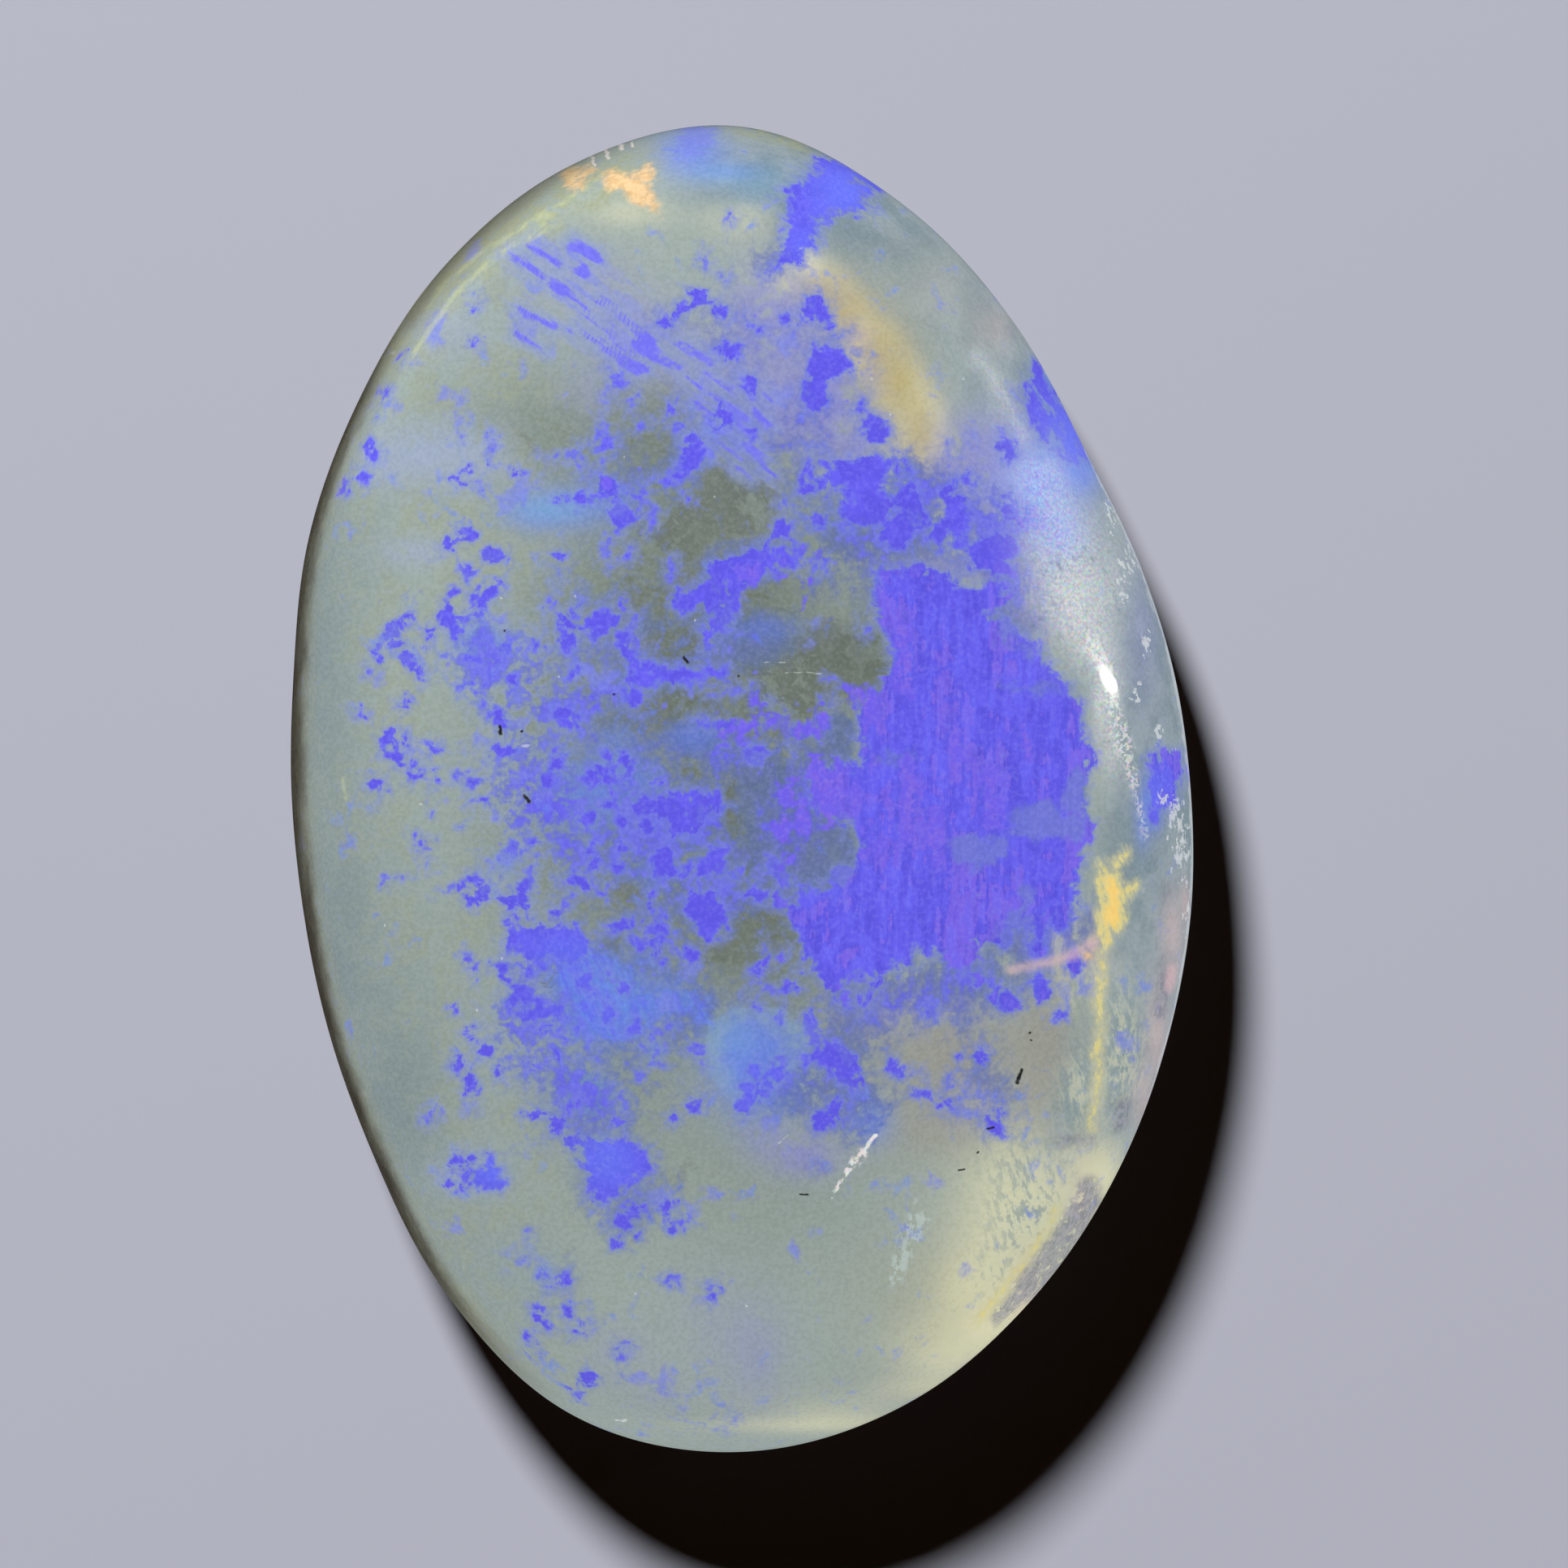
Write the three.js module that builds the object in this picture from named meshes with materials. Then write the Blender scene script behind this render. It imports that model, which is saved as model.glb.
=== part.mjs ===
// A polished free-form opal cabochon, one solid stone, in millimetres.
// It lies on its flat back at z = 0 with its crown facing +Z, and its length runs along Y.
// The origin is on the back, under the middle of the outline.

import * as THREE from "three";
import { mergeVertices } from "three/addons/utils/BufferGeometryUtils.js";

// The outline from above: its reach from the middle every 15 degrees, counter-clockwise from +X.
const OUTLINE_REACH = [
  4.39, 4.38, 4.48, 4.73, 5.3, 5.96, 6.5, 6.35, 5.89, 5.34, 4.91, 4.55,
  4.42, 4.46, 4.69, 5.1, 5.75, 6.36, 6.49, 6.23, 5.73, 5.23, 4.82, 4.55,
];

// Heights above the surface that the stone lies on.
const CROWN_HEIGHT = 3.6;
const GIRDLE_HEIGHT = 1.3;

// The crown is a low dome, highest a little left of the middle, and this much lower at its sides.
const CROWN_TOP = new THREE.Vector2(-0.45, 0.3);
const CROWN_SAG = new THREE.Vector2(0.9, 0.85);
const CROWN_HALF = new THREE.Vector2(4.4, 6.5);

// The shoulder between crown and girdle, as its width every 15 degrees:
// broad on the right, narrow down the left side.
const SHOULDER_WIDTH = [
  1.15, 1.15, 1.2, 1.2, 1.15, 1.17, 0.7, 0.36, 0.36, 0.34, 0.38, 0.44,
  0.5, 0.52, 0.55, 0.6, 0.66, 0.72, 0.78, 0.84, 0.9, 0.98, 1.05, 1.12,
];
// How it meets the crown, every 30 degrees: 0 at an edge, 1 rolling over level.
const SHOULDER_ROUNDNESS = [0.7, 0.5, 0.1, 0.05, 0.1, 0.5, 0.7, 0.7, 0.7, 0.7, 0.7, 0.7];
// That edge is polished soft over this much height.
const EDGE_SOFTNESS = 0.14;

// Below the girdle the wall draws in towards the rim of the flat back.
const BACK_INSET = 0.55;
const BACK_CURVE = 2.2;

// The rows of facets, and how much closer together the crown's outer rows are.
const SIDE_FACETS = 30;
const SHOULDER_ROWS = 7;
const WALL_ROWS = 5;
const ROWS = SHOULDER_ROWS + WALL_ROWS;
const CROWDING = 0.2;

// A value round the stone at an angle, on a smooth closed curve through evenly spaced values.
function around(values, angle) {
  const count = values.length;
  const place = (angle / (2 * Math.PI) + 1) * count;
  const first = Math.floor(place);
  const share = place - first;
  const [before, from, to, after] = [-1, 0, 1, 2].map((step) => values[(first + step) % count]);
  const slopeFrom = (to - before) / 2;
  const slopeTo = (after - from) / 2;
  const cubed = 2 * (from - to) + slopeFrom + slopeTo;
  const squared = 3 * (to - from) - 2 * slopeFrom - slopeTo;
  return ((cubed * share + squared) * share + slopeFrom) * share + from;
}

// The lower of two heights, blended where they differ by less than the softness.
function softLower(a, b, softness) {
  const closeness = Math.max(softness - Math.abs(a - b), 0);
  return Math.min(a, b) - (closeness * closeness) / (4 * softness);
}

function crownHeight(radius, angle) {
  const across = (radius * Math.cos(angle) - CROWN_TOP.x) / CROWN_HALF.x;
  const along = (radius * Math.sin(angle) - CROWN_TOP.y) / CROWN_HALF.y;
  return CROWN_HEIGHT - CROWN_SAG.x * across * across - CROWN_SAG.y * along * along;
}

// The height of the polished top, upright at the girdle and rounding over to the crown.
function topHeight(radius, angle) {
  const reach = around(OUTLINE_REACH, angle);
  const width = around(SHOULDER_WIDTH, angle);
  const roundness = around(SHOULDER_ROUNDNESS, angle);
  const rise = crownHeight(reach - width, angle) - GIRDLE_HEIGHT;
  const inward = Math.min(Math.max(reach - radius, 0) / width, 1);
  const shoulder = GIRDLE_HEIGHT + rise * Math.sqrt(inward * (1 + roundness * (1 - inward)));
  const beyond = Math.max(reach - width - radius, 0);
  return softLower(crownHeight(radius, angle), shoulder + beyond, EDGE_SOFTNESS);
}

// A point of a block from -1 to 1 each way, as the square ring it is on and its angle.
function ringAndAngle(block) {
  const ring = Math.max(Math.abs(block.x), Math.abs(block.y));
  const half = Math.PI;
  if (ring === 0) return [0, 0];
  if (Math.abs(block.x) === ring) {
    return [ring, (half / 4) * (block.y / block.x) + (block.x < 0 ? half : 0)];
  }
  return [ring, (half / 4) * (2 - block.x / block.y) + (block.y < 0 ? half : 0)];
}

// Where a point of the block lies on the stone: its top face is the crown, its upper rows
// the shoulder, its lower rows the wall, and its bottom face the flat back.
function placeOnStone(block, target) {
  const [ring, angle] = ringAndAngle(block);
  const reach = around(OUTLINE_REACH, angle);
  const width = around(SHOULDER_WIDTH, angle);
  const row = Math.round(((1 - block.z) / 2) * ROWS);
  let radius;
  let height;
  if (row <= SHOULDER_ROWS) {
    const out = ring * (1 + CROWDING * (1 - ring * ring));
    const up = 1 - row / SHOULDER_ROWS;
    radius = row === 0 ? (reach - width) * out : reach - width * up * up;
    height = topHeight(radius, angle);
  } else {
    const down = (row - SHOULDER_ROWS) / WALL_ROWS;
    radius = (reach - BACK_INSET * down ** BACK_CURVE) * ring;
    height = GIRDLE_HEIGHT * (1 - down);
  }
  return target.set(radius * Math.cos(angle), radius * Math.sin(angle), height);
}

// A block with its faces divided into facets, each corner moved to its place on the stone.
function makeStone() {
  const block = new THREE.BoxGeometry(2, 2, 2, SIDE_FACETS, SIDE_FACETS, ROWS);
  const position = block.getAttribute("position");
  const point = new THREE.Vector3();
  for (let i = 0; i < position.count; i++) {
    placeOnStone(point.fromBufferAttribute(position, i), point);
    position.setXYZ(i, point.x, point.y, point.z);
  }
  block.deleteAttribute("normal");
  block.deleteAttribute("uv");
  const stone = mergeVertices(block);
  stone.computeBoundingBox();
  const middle = stone.boundingBox.getCenter(new THREE.Vector3());
  stone.translate(-middle.x, -middle.y, 0);
  stone.computeVertexNormals();
  return stone;
}

const polishedOpal = new THREE.MeshStandardMaterial({
  name: "polished_opal",
  color: new THREE.Color().setRGB(0.56, 0.62, 0.62, THREE.SRGBColorSpace),
  roughness: 0.12,
  metalness: 0,
});

const opal = new THREE.Mesh(makeStone(), polishedOpal);
opal.name = "opal";

const part = new THREE.Group();
part.add(opal);

export default part;
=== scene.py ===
"""Looks of a polished free-form opal cabochon, lying on its flat back on a pale surface.

The stone is one piece. Its play of colour is in the stone, so it is colour and not relief: soft fields
and flakes placed one by one in millimetres on the stone, and given ragged edges by noise in the material.
"""

import math

import bpy
import numpy as np
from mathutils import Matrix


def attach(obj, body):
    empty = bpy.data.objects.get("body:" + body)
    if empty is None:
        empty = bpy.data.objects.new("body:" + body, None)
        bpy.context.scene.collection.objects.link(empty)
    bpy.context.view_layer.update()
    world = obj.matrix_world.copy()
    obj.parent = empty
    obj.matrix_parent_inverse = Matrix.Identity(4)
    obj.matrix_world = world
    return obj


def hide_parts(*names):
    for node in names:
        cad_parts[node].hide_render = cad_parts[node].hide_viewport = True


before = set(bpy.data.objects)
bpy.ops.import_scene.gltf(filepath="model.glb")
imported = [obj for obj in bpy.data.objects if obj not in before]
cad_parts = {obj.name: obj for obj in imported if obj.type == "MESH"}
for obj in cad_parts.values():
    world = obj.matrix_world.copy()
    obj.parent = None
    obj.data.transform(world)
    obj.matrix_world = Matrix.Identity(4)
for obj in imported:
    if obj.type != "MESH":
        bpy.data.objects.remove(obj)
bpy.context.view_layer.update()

MM = 0.001

# ----- Camera: straight above the stone, its length upright in the picture.
PICTURE_WIDTH = 15.343 * MM
PICTURE_CENTRE = (0.409 * MM, 0.044 * MM)
GIRDLE = 1.3 * MM
LENS = 600.0
SENSOR = 36.0

camera_data = bpy.data.cameras.new("above")
camera_data.lens = LENS
camera_data.sensor_width = SENSOR
camera_data.clip_start = 0.01
camera_data.clip_end = 2.0
camera = bpy.data.objects.new("above", camera_data)
camera.location = (*PICTURE_CENTRE, GIRDLE + PICTURE_WIDTH * LENS / SENSOR)
bpy.context.scene.collection.objects.link(camera)
bpy.context.scene.camera = camera
bpy.context.scene.view_settings.view_transform = "Standard"

# ----- The ways to the lamps: the key lamp up and to the left of the stone, the glint low on its right.
KEY_DIRECTION = (-0.35, 0.73, 1.0)
GLINT_DIRECTION = (0.933, 0.207, 0.295)
LAMP_DISTANCE = 0.3
FLOOR_SIZE = 0.6

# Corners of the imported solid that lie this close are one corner.
SAME_CORNER = 1e-7
# The stone's outline is found in this many sectors round its middle.
OUTLINE_SECTORS = 240
# Millimetres: past every part of the stone, and next to nothing.
FAR = 9.0
NO_LENGTH = 1e-9
# The Mix node's colour sockets, which share their names with its others.
MIX_UNDER, MIX_ABOVE, MIX_RESULT = 6, 7, 2

# ----- Where the colours lie, in millimetres: x to the right, y towards the stone's narrower end.
# Strokes go by their half width, each with the points it passes through, x, y, x, y and so on.
# A patch is its corners. A glow is x, y, reach across, reach along and strength.

# Violet flakes.
VIOLET_STROKES = {
    -.01: [(-3.36, 1.4), (-3.27, 1.3)],
    0: [(-3.41, 1.57), (-3.2, 1.17, -3.1, 1.1)],
    .01: [(2.5, -3.1, 2.51, -3.35)],
    .015: [(-1.18, -4.18, -1.08, -4.27)],
    .02: [(-2.22, 3.07), (-.13, 5.53), (-1.15, -4.03, -1.03, -4.11), (-1.3, -4.25), (2.37, -3.17, 2.42, -3.28)],
    .022: [(-.48, -3.1), (-.63, -3.21)],
    .025: [(-2.45, 2.29, -2.37, 2.25)],
    .03: [(-2.61, 4.83, -2.6, 4.7), (-2.44, 3.38, -2.41, 3.27), (-2.51, 3.1), (-2.5, 2.93), (-1.89, 3.09),
        (-1.93, 3.26), (-1.81, 3.23), (.5, 5.17, .23, 5), (.65, 4.6), (.71, 4.7, .84, 4.56, .9, 4.4),
        (-.2, .54, 0, .53), (-2.82, 2.38), (-2.97, 2.29), (-2.68, 2.16), (-1.78, 2.22), (-1.75, 2.04), (-3.58, -.17),
        (-2.72, -.35), (-2.65, -.02), (-2.26, -1.09), (-.76, -1.67), (-.9, -1.85), (.18, -1.45, .19, -1.58),
        (-2.9, -3.72), (-1.58, -5.9), (-.16, -6.25, -.1, -6.17), (2.35, -1.8, 2.42, -1.88), (3.08, -2.22)],
    .035: [(-2.62, 3.56, -2.43, 3.44), (-2.77, 2.98), (-2.6, 3.06), (-2.64, 2.44), (-3.77, .73, -3.68, .72),
        (-3.27, .43), (-3.07, -.42), (-2.97, -.46), (-3.19, -.43), (-3.12, -.53), (-1.2, -.33), (-.95, -.36),
        (-1.19, -2.93, -1.15, -3.1, -1.22, -3.25), (-2.16, -3.52), (-1.23, -4.42), (-1.62, -5.27, -1.54, -5.21),
        (-1.5, -5.75), (2.05, -2.82, 2.17, -2.95), (2.11, -2.62), (3.36, -.41, 3.37, -.49)],
    .04: [(-2.6, 4.36), (-3.26, 4.15), (-3.86, 2.9), (-1.77, 2.8), (-.18, 4.97), (-.44, 4.78), (-.55, 4.73),
        (-1.3, 3.8, -1.1, 3.74), (.2, 3.2), (-.53, 3.4), (-.6, 3.55), (-.7, 3.68), (-.76, 4.54),
        (.11, 4.52, .28, 4.37), (.43, 4.53), (.77, 2.6), (-1.18, 2.6, -.99, 2.64), (.66, 3.26, .64, 2.92),
        (-1.3, 1.7), (-1.24, 1.6), (-1.15, 1.8), (-1.03, 1.66), (-1.18, 1.49, -.87, 1.37),
        (.02, .59, .23, .65, .42, .7), (-3.2, 1.8, -3.26, 1.62), (-3.52, 1.25), (-2.88, 1.08),
        (-2.56, .93, -2.51, .85), (-2.37, 1.45, -2.23, 1.38), (-2.98, .19), (-3.08, .19), (-3.19, .22), (-3.51, 0),
        (-2.64, .34), (-2.7, -.16, -2.5, -.1), (-3.43, -.88, -3.14, -.87), (.03, -.95, .4, -1.13),
        (-1.43, -1.4, -1.07, -1.33), (.37, -1.63), (-1.78, -1.3, -1.8, -1.2), (-1.3, -1.8, -1.15, -1.95),
        (-2.75, -2.19), (-2.42, -2.86), (-2.34, -2.74), (-2.29, -2.61), (-1.82, -3.26), (-2.56, -3.12),
        (-3.05, -3.26, -3, -3.18), (-2.33, -4.67), (-2, -5.02), (-2, -5.14), (-1.9, -5.12), (-1.73, -5.11),
        (-1.89, -5.23), (-.69, -4.1), (.38, -2.2), (.85, -3.1), (1.07, -3.25)],
    .045: [(-2.72, 3.4), (-2.79, 1.9), (-1.32, -.95), (-1.35, -1.04), (.2, -1.93, .5, -1.97), (-2.6, -1.9),
        (-1.65, -3.44), (-.7, -4.79), (3.22, -1.62, 3.24, -1.78), (1.75, -2.96, 1.85, -3), (1.95, -3.07),
        (2.33, -2.55), (.74, -3.24, .84, -3.21)],
    .05: [(-3.56, 3.63), (-3.6, 3.3, -3.58, 3.2), (-3.66, 3.05), (-.32, 5.23), (-.3, 5.11), (-.35, 5.06),
        (1.13, 3.71), (.06, 3.95), (.12, 3.4), (2.06, 3.28), (2.9, 4.08), (2.75, 3.96), (-.08, 2.07, -.06, 1.76),
        (-.97, 3.51, -.76, 3.58), (-1.63, 3.28), (-1.56, 3.17), (-1.58, 2.83, -1.35, 2.87), (.36, 2.76),
        (-.16, 1.64, -.37, 1.5, -.31, 1.39), (.84, 1.03), (.13, .84, .3, .83), (-.28, .92, .12, 1),
        (.55, .55, .76, .55, .78, .7), (-3.07, 1.05), (-3.64, 1.15), (-3.3, .83), (-2.25, 1.1, -2.27, .95),
        (-2.1, 1.36, -1.95, 1.38), (-1.78, 1.62), (-1.78, 1.56, -1.7, 1.46), (-3.45, .53, -3.48, .38),
        (-3.42, .33, -3.32, .26), (-3.21, .13, -3.06, .06, -2.95, .09), (-2.77, .12), (-1.8, .34), (-3.03, -.28),
        (-3.05, -.68, -3.04, -.8, -2.95, -.8), (-2.96, -1, -2.81, -.95), (-2.68, -1.07, -2.54, -1.05),
        (-2.56, -.62, -2.43, -.73), (-2.02, -.49), (-1.9, -.6), (-1.33, .3, -1.15, .28), (-1.13, -.58), (-1.43, -.77),
        (-1.19, -.77), (-.2, -.8, 0, -.8), (.3, -.68, .38, -.87), (.2, -1.72), (.1, -1.9), (-1.28, -2.2),
        (-.75, -2.3, -.92, -2.48), (-2.66, -1.68), (-2.45, -2.52), (-2.15, -2.53), (-1.6, -2.34), (-1.46, -2.47),
        (-1.42, -2.7), (-.97, -2.77, -.81, -2.67), (-2.04, -3.16), (-2.78, -3.62, -2.65, -3.62), (-2.86, -3.83),
        (-2.7, -3.8), (-.32, -4.85), (-.59, -4.21), (.6, -2.6), (1.81, -2.19, 1.94, -2.24),
        (2.35, -1.85, 2.47, -1.92), (1.5, -2.7, 1.73, -2.74), (1.87, -2.22), (3.23, -1.28)],
    .055: [(-1.84, -2.6), (-1.65, -3.06), (-2.03, -4.58), (2.87, -1.74, 2.92, -1.95)],
    .06: [(-2.59, 4.67), (-3.45, 3.84), (.98, 4.2, 1.08, 4.08), (.78, 4, .7, 3.77), (-.15, 3.62),
        (2.56, 3.4, 2.64, 3.25), (2.92, 3.95, 3.03, 3.76), (-.55, 2.84),
        (-1.22, 2.45, -1.37, 2.4, -1.33, 2.26, -1.24, 2.16, -1.1, 2.28), (-.68, 2.22, -.7, 2.03), (.78, 3.15),
        (-2.86, 1.3), (-2.75, .98, -2.6, .99), (-2.4, .78, -2.35, .68), (-2.18, 1.36, -1.98, 1.36), (-3.61, .05),
        (-2.53, .25, -2.56, .12), (-2.35, .42, -2.3, .37), (-2.2, -.56, -2.08, -.74, -2.12, -1.05), (-.95, -.14),
        (-1.45, -.53), (-.87, -1.02), (-.78, -1.25), (-1.5, -1.88), (-1.05, -2.32), (-2.33, -1.77, -2.25, -1.93),
        (-1.93, -1.72), (-2.2, -2.05), (-2.57, -2.47), (-2.45, -3.6, -2.38, -3.7), (-2.27, -4.48, -2.1, -4.4),
        (-1.85, -4.83, -1.72, -4.77), (0, -3.1, .08, -2.95), (.15, -2.72), (.3, -2.77, .4, -2.7), (.19, -2.12),
        (.94, -2.67, 1.1, -2.77), (1, -2.03, 1.2, -2.05)],
    .065: [(-2.56, 1.82, -2.4, 1.93)],
    .07: [(1.25, 3.57, 1.31, 3.43), (-.16, 4.6), (2.18, 3.02, 2.3, 2.93), (2.6, 2.75, 2.85, 2.55),
        (-.83, 2.72, -.88, 2.52), (-1.64, 1.63, -1.41, 1.66), (.84, .85), (-3, 1.46), (-2.6, 1.27), (-1.78, 1.56),
        (-1.64, 1.08), (-1.75, .3, -1.9, .07), (-1.3, -.15), (-1.33, .17), (-.83, .03), (-.75, -.15),
        (-.66, -1.58, -.45, -1.63), (-1.6, -2.6), (-1.95, -2.37, -1.8, -2.37, -1.72, -2.45),
        (-2.14, -1.72, -2.05, -1.8), (-2.65, -2.37), (-2.76, -2.72), (-2.63, -2.86), (-2.01, -2.67), (-.84, -2.53),
        (-1.92, -4.7), (-2.09, -5.39), (-.44, -2.54, -.35, -2.62)],
    .075: [(-1.16, -5.54)],
    .08: [(1.57, 2.9, 1.68, 2.65), (.4, 2.53), (-.74, 2.97, -.55, 3.07, -.43, 3.24), (-1.36, 2.99), (1.2, 1.5),
        (-.4, .65, -.1, .6), (.15, .34), (-2.76, 1.53), (-2.98, .38), (-2.6, -.87), (-.26, -.1),
        (-1.7, -.93, -1.5, -.9), (-1.7, -1.08), (-1.9, -2.25, -1.75, -2.4), (-2.1, -2.2, -1.75, -2.15),
        (.65, -2.23, .7, -2.4), (2.9, -1.2, 2.88, -1.6)],
    .09: [(-.08, 4.25), (2.85, 3.72, 3.12, 3.4), (.55, 2.35), (-1.3, 3.47, -1.36, 3.2), (-.6, 1.8, -.24, 1.9),
        (-1.5, 1.65, -1.35, 1.6), (-1.45, .05), (-1, -1.47, -.75, -1.38), (-2.15, -1.98, -1.95, -2.1)],
    .1: [(-1.22, 3.95), (1.92, 2.5), (2.5, 2.18), (3.17, 3.62, 3.23, 3.3), (.8, 2.15), (-.93, 2.86), (-2.87, 1.66),
        (-1.83, 1.84), (-.5, -.75, -.25, -.67), (-.25, -1.37), (2.58, -2.05), (3.2, -.5, 3.2, -.85), (3.1, -1.3)],
    .11: [(-1.5, -.3)],
    .12: [(2.3, 2.3, 2.55, 2.3), (-.13, 2.1, .1, 2.15, .4, 2.25, .7, 2.15), (-1.7, .65), (-.58, -.33), (-2.45, -3.75),
        (.79, -2.62), (2.5, -1.38)],
    .13: [(.88, 3, 1.4, 3.15), (2.05, 2.75, 2.1, 2.4), (1.5, 2.5), (-.55, -.1), (-.75, -.75),
        (2.12, -1.5, 2.12, -1.62)],
    .14: [(-.4, -1.1, -.3, -1.35)],
    .15: [(1.1, 2.7, 1.3, 2.75)],
    .17: [(.84, 4.13)],
    .24: [(1.2, 2.9)],
}
# Violet in slanting streaks, at the upper left.
VIOLET_STREAKS = {
    .02: [(-2.2, 4.42, -1.9, 4.25), (-1.5, 4.6, -1.25, 4.45), (-.55, 4, -.4, 3.9), (-.35, 4.05, -.1, 3.88),
        (.2, 3.85, .3, 3.75), (-.05, 3.1, .1, 3), (.2, 3.1, .3, 3.02)],
    .025: [(-.62, 4.33, -.28, 4.12)],
    .03: [(-2.27, 5.22, -1.92, 4.94), (-2.06, 5.29, -1.79, 5.08), (-2.15, 4.66, -1.83, 4.48),
        (-1.66, 4.48, -1.35, 4.3, -1.18, 4.22), (-.84, 4.2, -.6, 4.08), (-1.15, 4.16, -.93, 4.08),
        (-.45, 3.75, -.3, 3.62), (-.3, 3.82, -.12, 3.68), (.02, 3.98, .1, 3.78), (-.38, 3.56, -.2, 3.44),
        (-.5, 3.4, -.3, 3.25), (-.2, 3.35, 0, 3.2), (.05, 3.33, .2, 3.2), (.12, 3.66, .25, 3.5)],
    .035: [(-.15, 3.7, 0, 3.58), (-.05, 3.54, .12, 3.42)],
    .04: [(-1.65, 5.28, -1.42, 5.17), (-1.87, 4.91, -1.6, 4.75, -1.5, 4.65)],
    .05: [(-1.15, 4.15, -1, 4.08), (-1.37, 4.74, -1.22, 4.66, -1.04, 4.47, -.87, 4.35), (-1.02, 4.3, -.84, 4.2)],
    .06: [(-1.54, 5.04)],
}
# Flakes that lie deeper and show paler.
LILAC_STROKES = {
    .02: [(.4, -3.5)],
    .03: [(3.72, -2.45, 3.74, -2.55), (3.15, -1.9, 3.17, -2.1), (3.3, -1.75, 3.32, -1.95), (.71, -4.27)],
    .035: [(-2.8, 3.87, -2.62, 3.75, -2.48, 3.55, -2.42, 3.38)],
    .04: [(-2, 5.35, -1.8, 5.25), (-2.24, 4.6, -2.04, 4.43), (-3.54, 1.04), (-3.89, 1.73),
        (-2.87, -.08, -2.83, -.28), (3.08, -2.23), (.52, -4.48), (1.87, -3.87), (2.16, -4.67)],
    .05: [(-1.66, 5.28, -1.5, 5.2), (-2.85, 3.64, -2.62, 3.56), (-2.4, 3.35, -2.42, 3.2), (-2.12, 4.1), (-1.85, 4.22),
        (-1.68, 4.09), (-1.7, 3.73), (.36, 3.85), (-2.69, 2.15), (-2.54, .47), (-2.4, .1), (-2.18, .1), (-2.16, -.07),
        (-2.4, -.29), (-2.18, -4.61), (-.79, -3.98), (-.48, -4.1), (-.32, -3.94), (2.33, -3.03), (2.19, -3.15),
        (.23, -3.29), (.36, 5.74), (.7, 1.6), (-1.27, -4, -1.35, -4.15)],
    .06: [(-2.61, 5.25), (-2.9, 3.87), (-2.15, 2.92, -2.33, 2.8), (-2.52, 2.93), (-2.14, .88), (-2.35, 1.65),
        (-2.71, -3.16), (-2.8, -4.25), (.47, .3)],
    .07: [(-3.56, 3.2), (.4, 4.3), (-.38, 3.9), (-.6, -6.05), (.65, 1.4)],
    .08: [(-2.97, 4.55), (-2.99, 4.38), (-3.43, 3.72), (2.2, 3.4), (-.98, -5.72), (-.75, -2.05)],
    .1: [(-3.19, .4), (-2.3, -.72), (-.79, -5.8), (-1.6, 1.1, -1.3, 1.1), (-.47, -1.75)],
    .11: [(-2.12, .66)],
}
# A pinker violet inside the violet.
PURPLE_STROKES = {
    .02: [(.4, -.3, .43, -.7)],
    .025: [(.42, .07, .47, -.13)],
    .03: [(.52, .1), (1.08, .2, 1.1, -.15), (1.1, .95, 1.22, .75), (.12, .84, .3, .83), (.64, 1.82)],
    .035: [(1.22, .85, 1.2, .3)],
    .04: [(.55, -.15, .62, -.4), (.57, 1.99), (-.2, .54, 0, .53)],
    .05: [(.92, .2, .96, -.1), (.78, .66, .68, .6), (1.25, -.35, 1.3, -.6), (.36, 2.2), (.43, 2.1), (.67, 2.05),
        (.75, 2.26), (.59, 2.33), (-1.36, 2.99), (.02, .59, .23, .65, .42, .7), (.55, .55, .76, .55, .78, .7),
        (2.75, .6, 2.8, .3)],
    .06: [(.07, 2.09), (1.85, -.2, 1.9, -.8), (2.4, .1, 2.42, -.3)],
    .07: [(.72, .22, .8, 0, .85, -.3), (2.05, .6, 2.08, .1)],
    .08: [(1.55, 1.5, 1.6, 1)],
    .09: [(1.2, .4), (1.2, -.6)],
    .1: [(1.6, .2, 1.62, -.5)],
}
# Dull mauve along the lower right edge.
MAUVE_STROKES = {
    .025: [(3.38, -3.42, 3.08, -3.42)],
    .04: [(4.12, -1.85, 4.08, -2.2)],
    .05: [(3.72, -3.1, 3.68, -3.3)],
    .06: [(2.75, -4.9, 2.5, -5.15)],
    .1: [(3.38, -3.9, 3.36, -4.03)],
    .14: [(3.36, -4.05, 3.2, -4.32, 3, -4.6, 2.8, -4.85)],
}
# The warm band at the upper right.
WARM_STROKES = {
    .05: [(.55, 5.12, .9, 4.86, 1.15, 4.55, 1.4, 4.2, 1.6, 3.85)],
    .15: [(1.28, 4.3, 1.52, 3.95, 1.72, 3.6, 1.76, 3.35)],
}
# The gold branch on the right, and pink threads beside it.
GOLD_STROKES = {
    .02: [(3.6, -.8, 3.75, -.62)],
    .03: [(3.66, -1.05, 3.83, -.95), (3.08, -4.1, 2.97, -4.32, 2.8, -4.55, 2.55, -4.88, 2.3, -5.2),
        (3.48, -1.6, 3.5, -1.75)],
    .035: [(3.5, -1.62, 3.49, -1.9),
        (3.5, -1.9, 3.47, -2.1, 3.49, -2.3, 3.46, -2.55, 3.47, -2.8, 3.44, -3.1, 3.4, -3.3)],
    .04: [(3.42, -1.47, 3.52, -1.36)],
    .05: [(3.57, -.85, 3.5, -.74)],
    .055: [(3.6, -1.3, 3.5, -1.6)],
    .12: [(3.58, -1.3, 3.64, -1.1), (3.63, -1.1, 3.57, -.9)],
}
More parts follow.
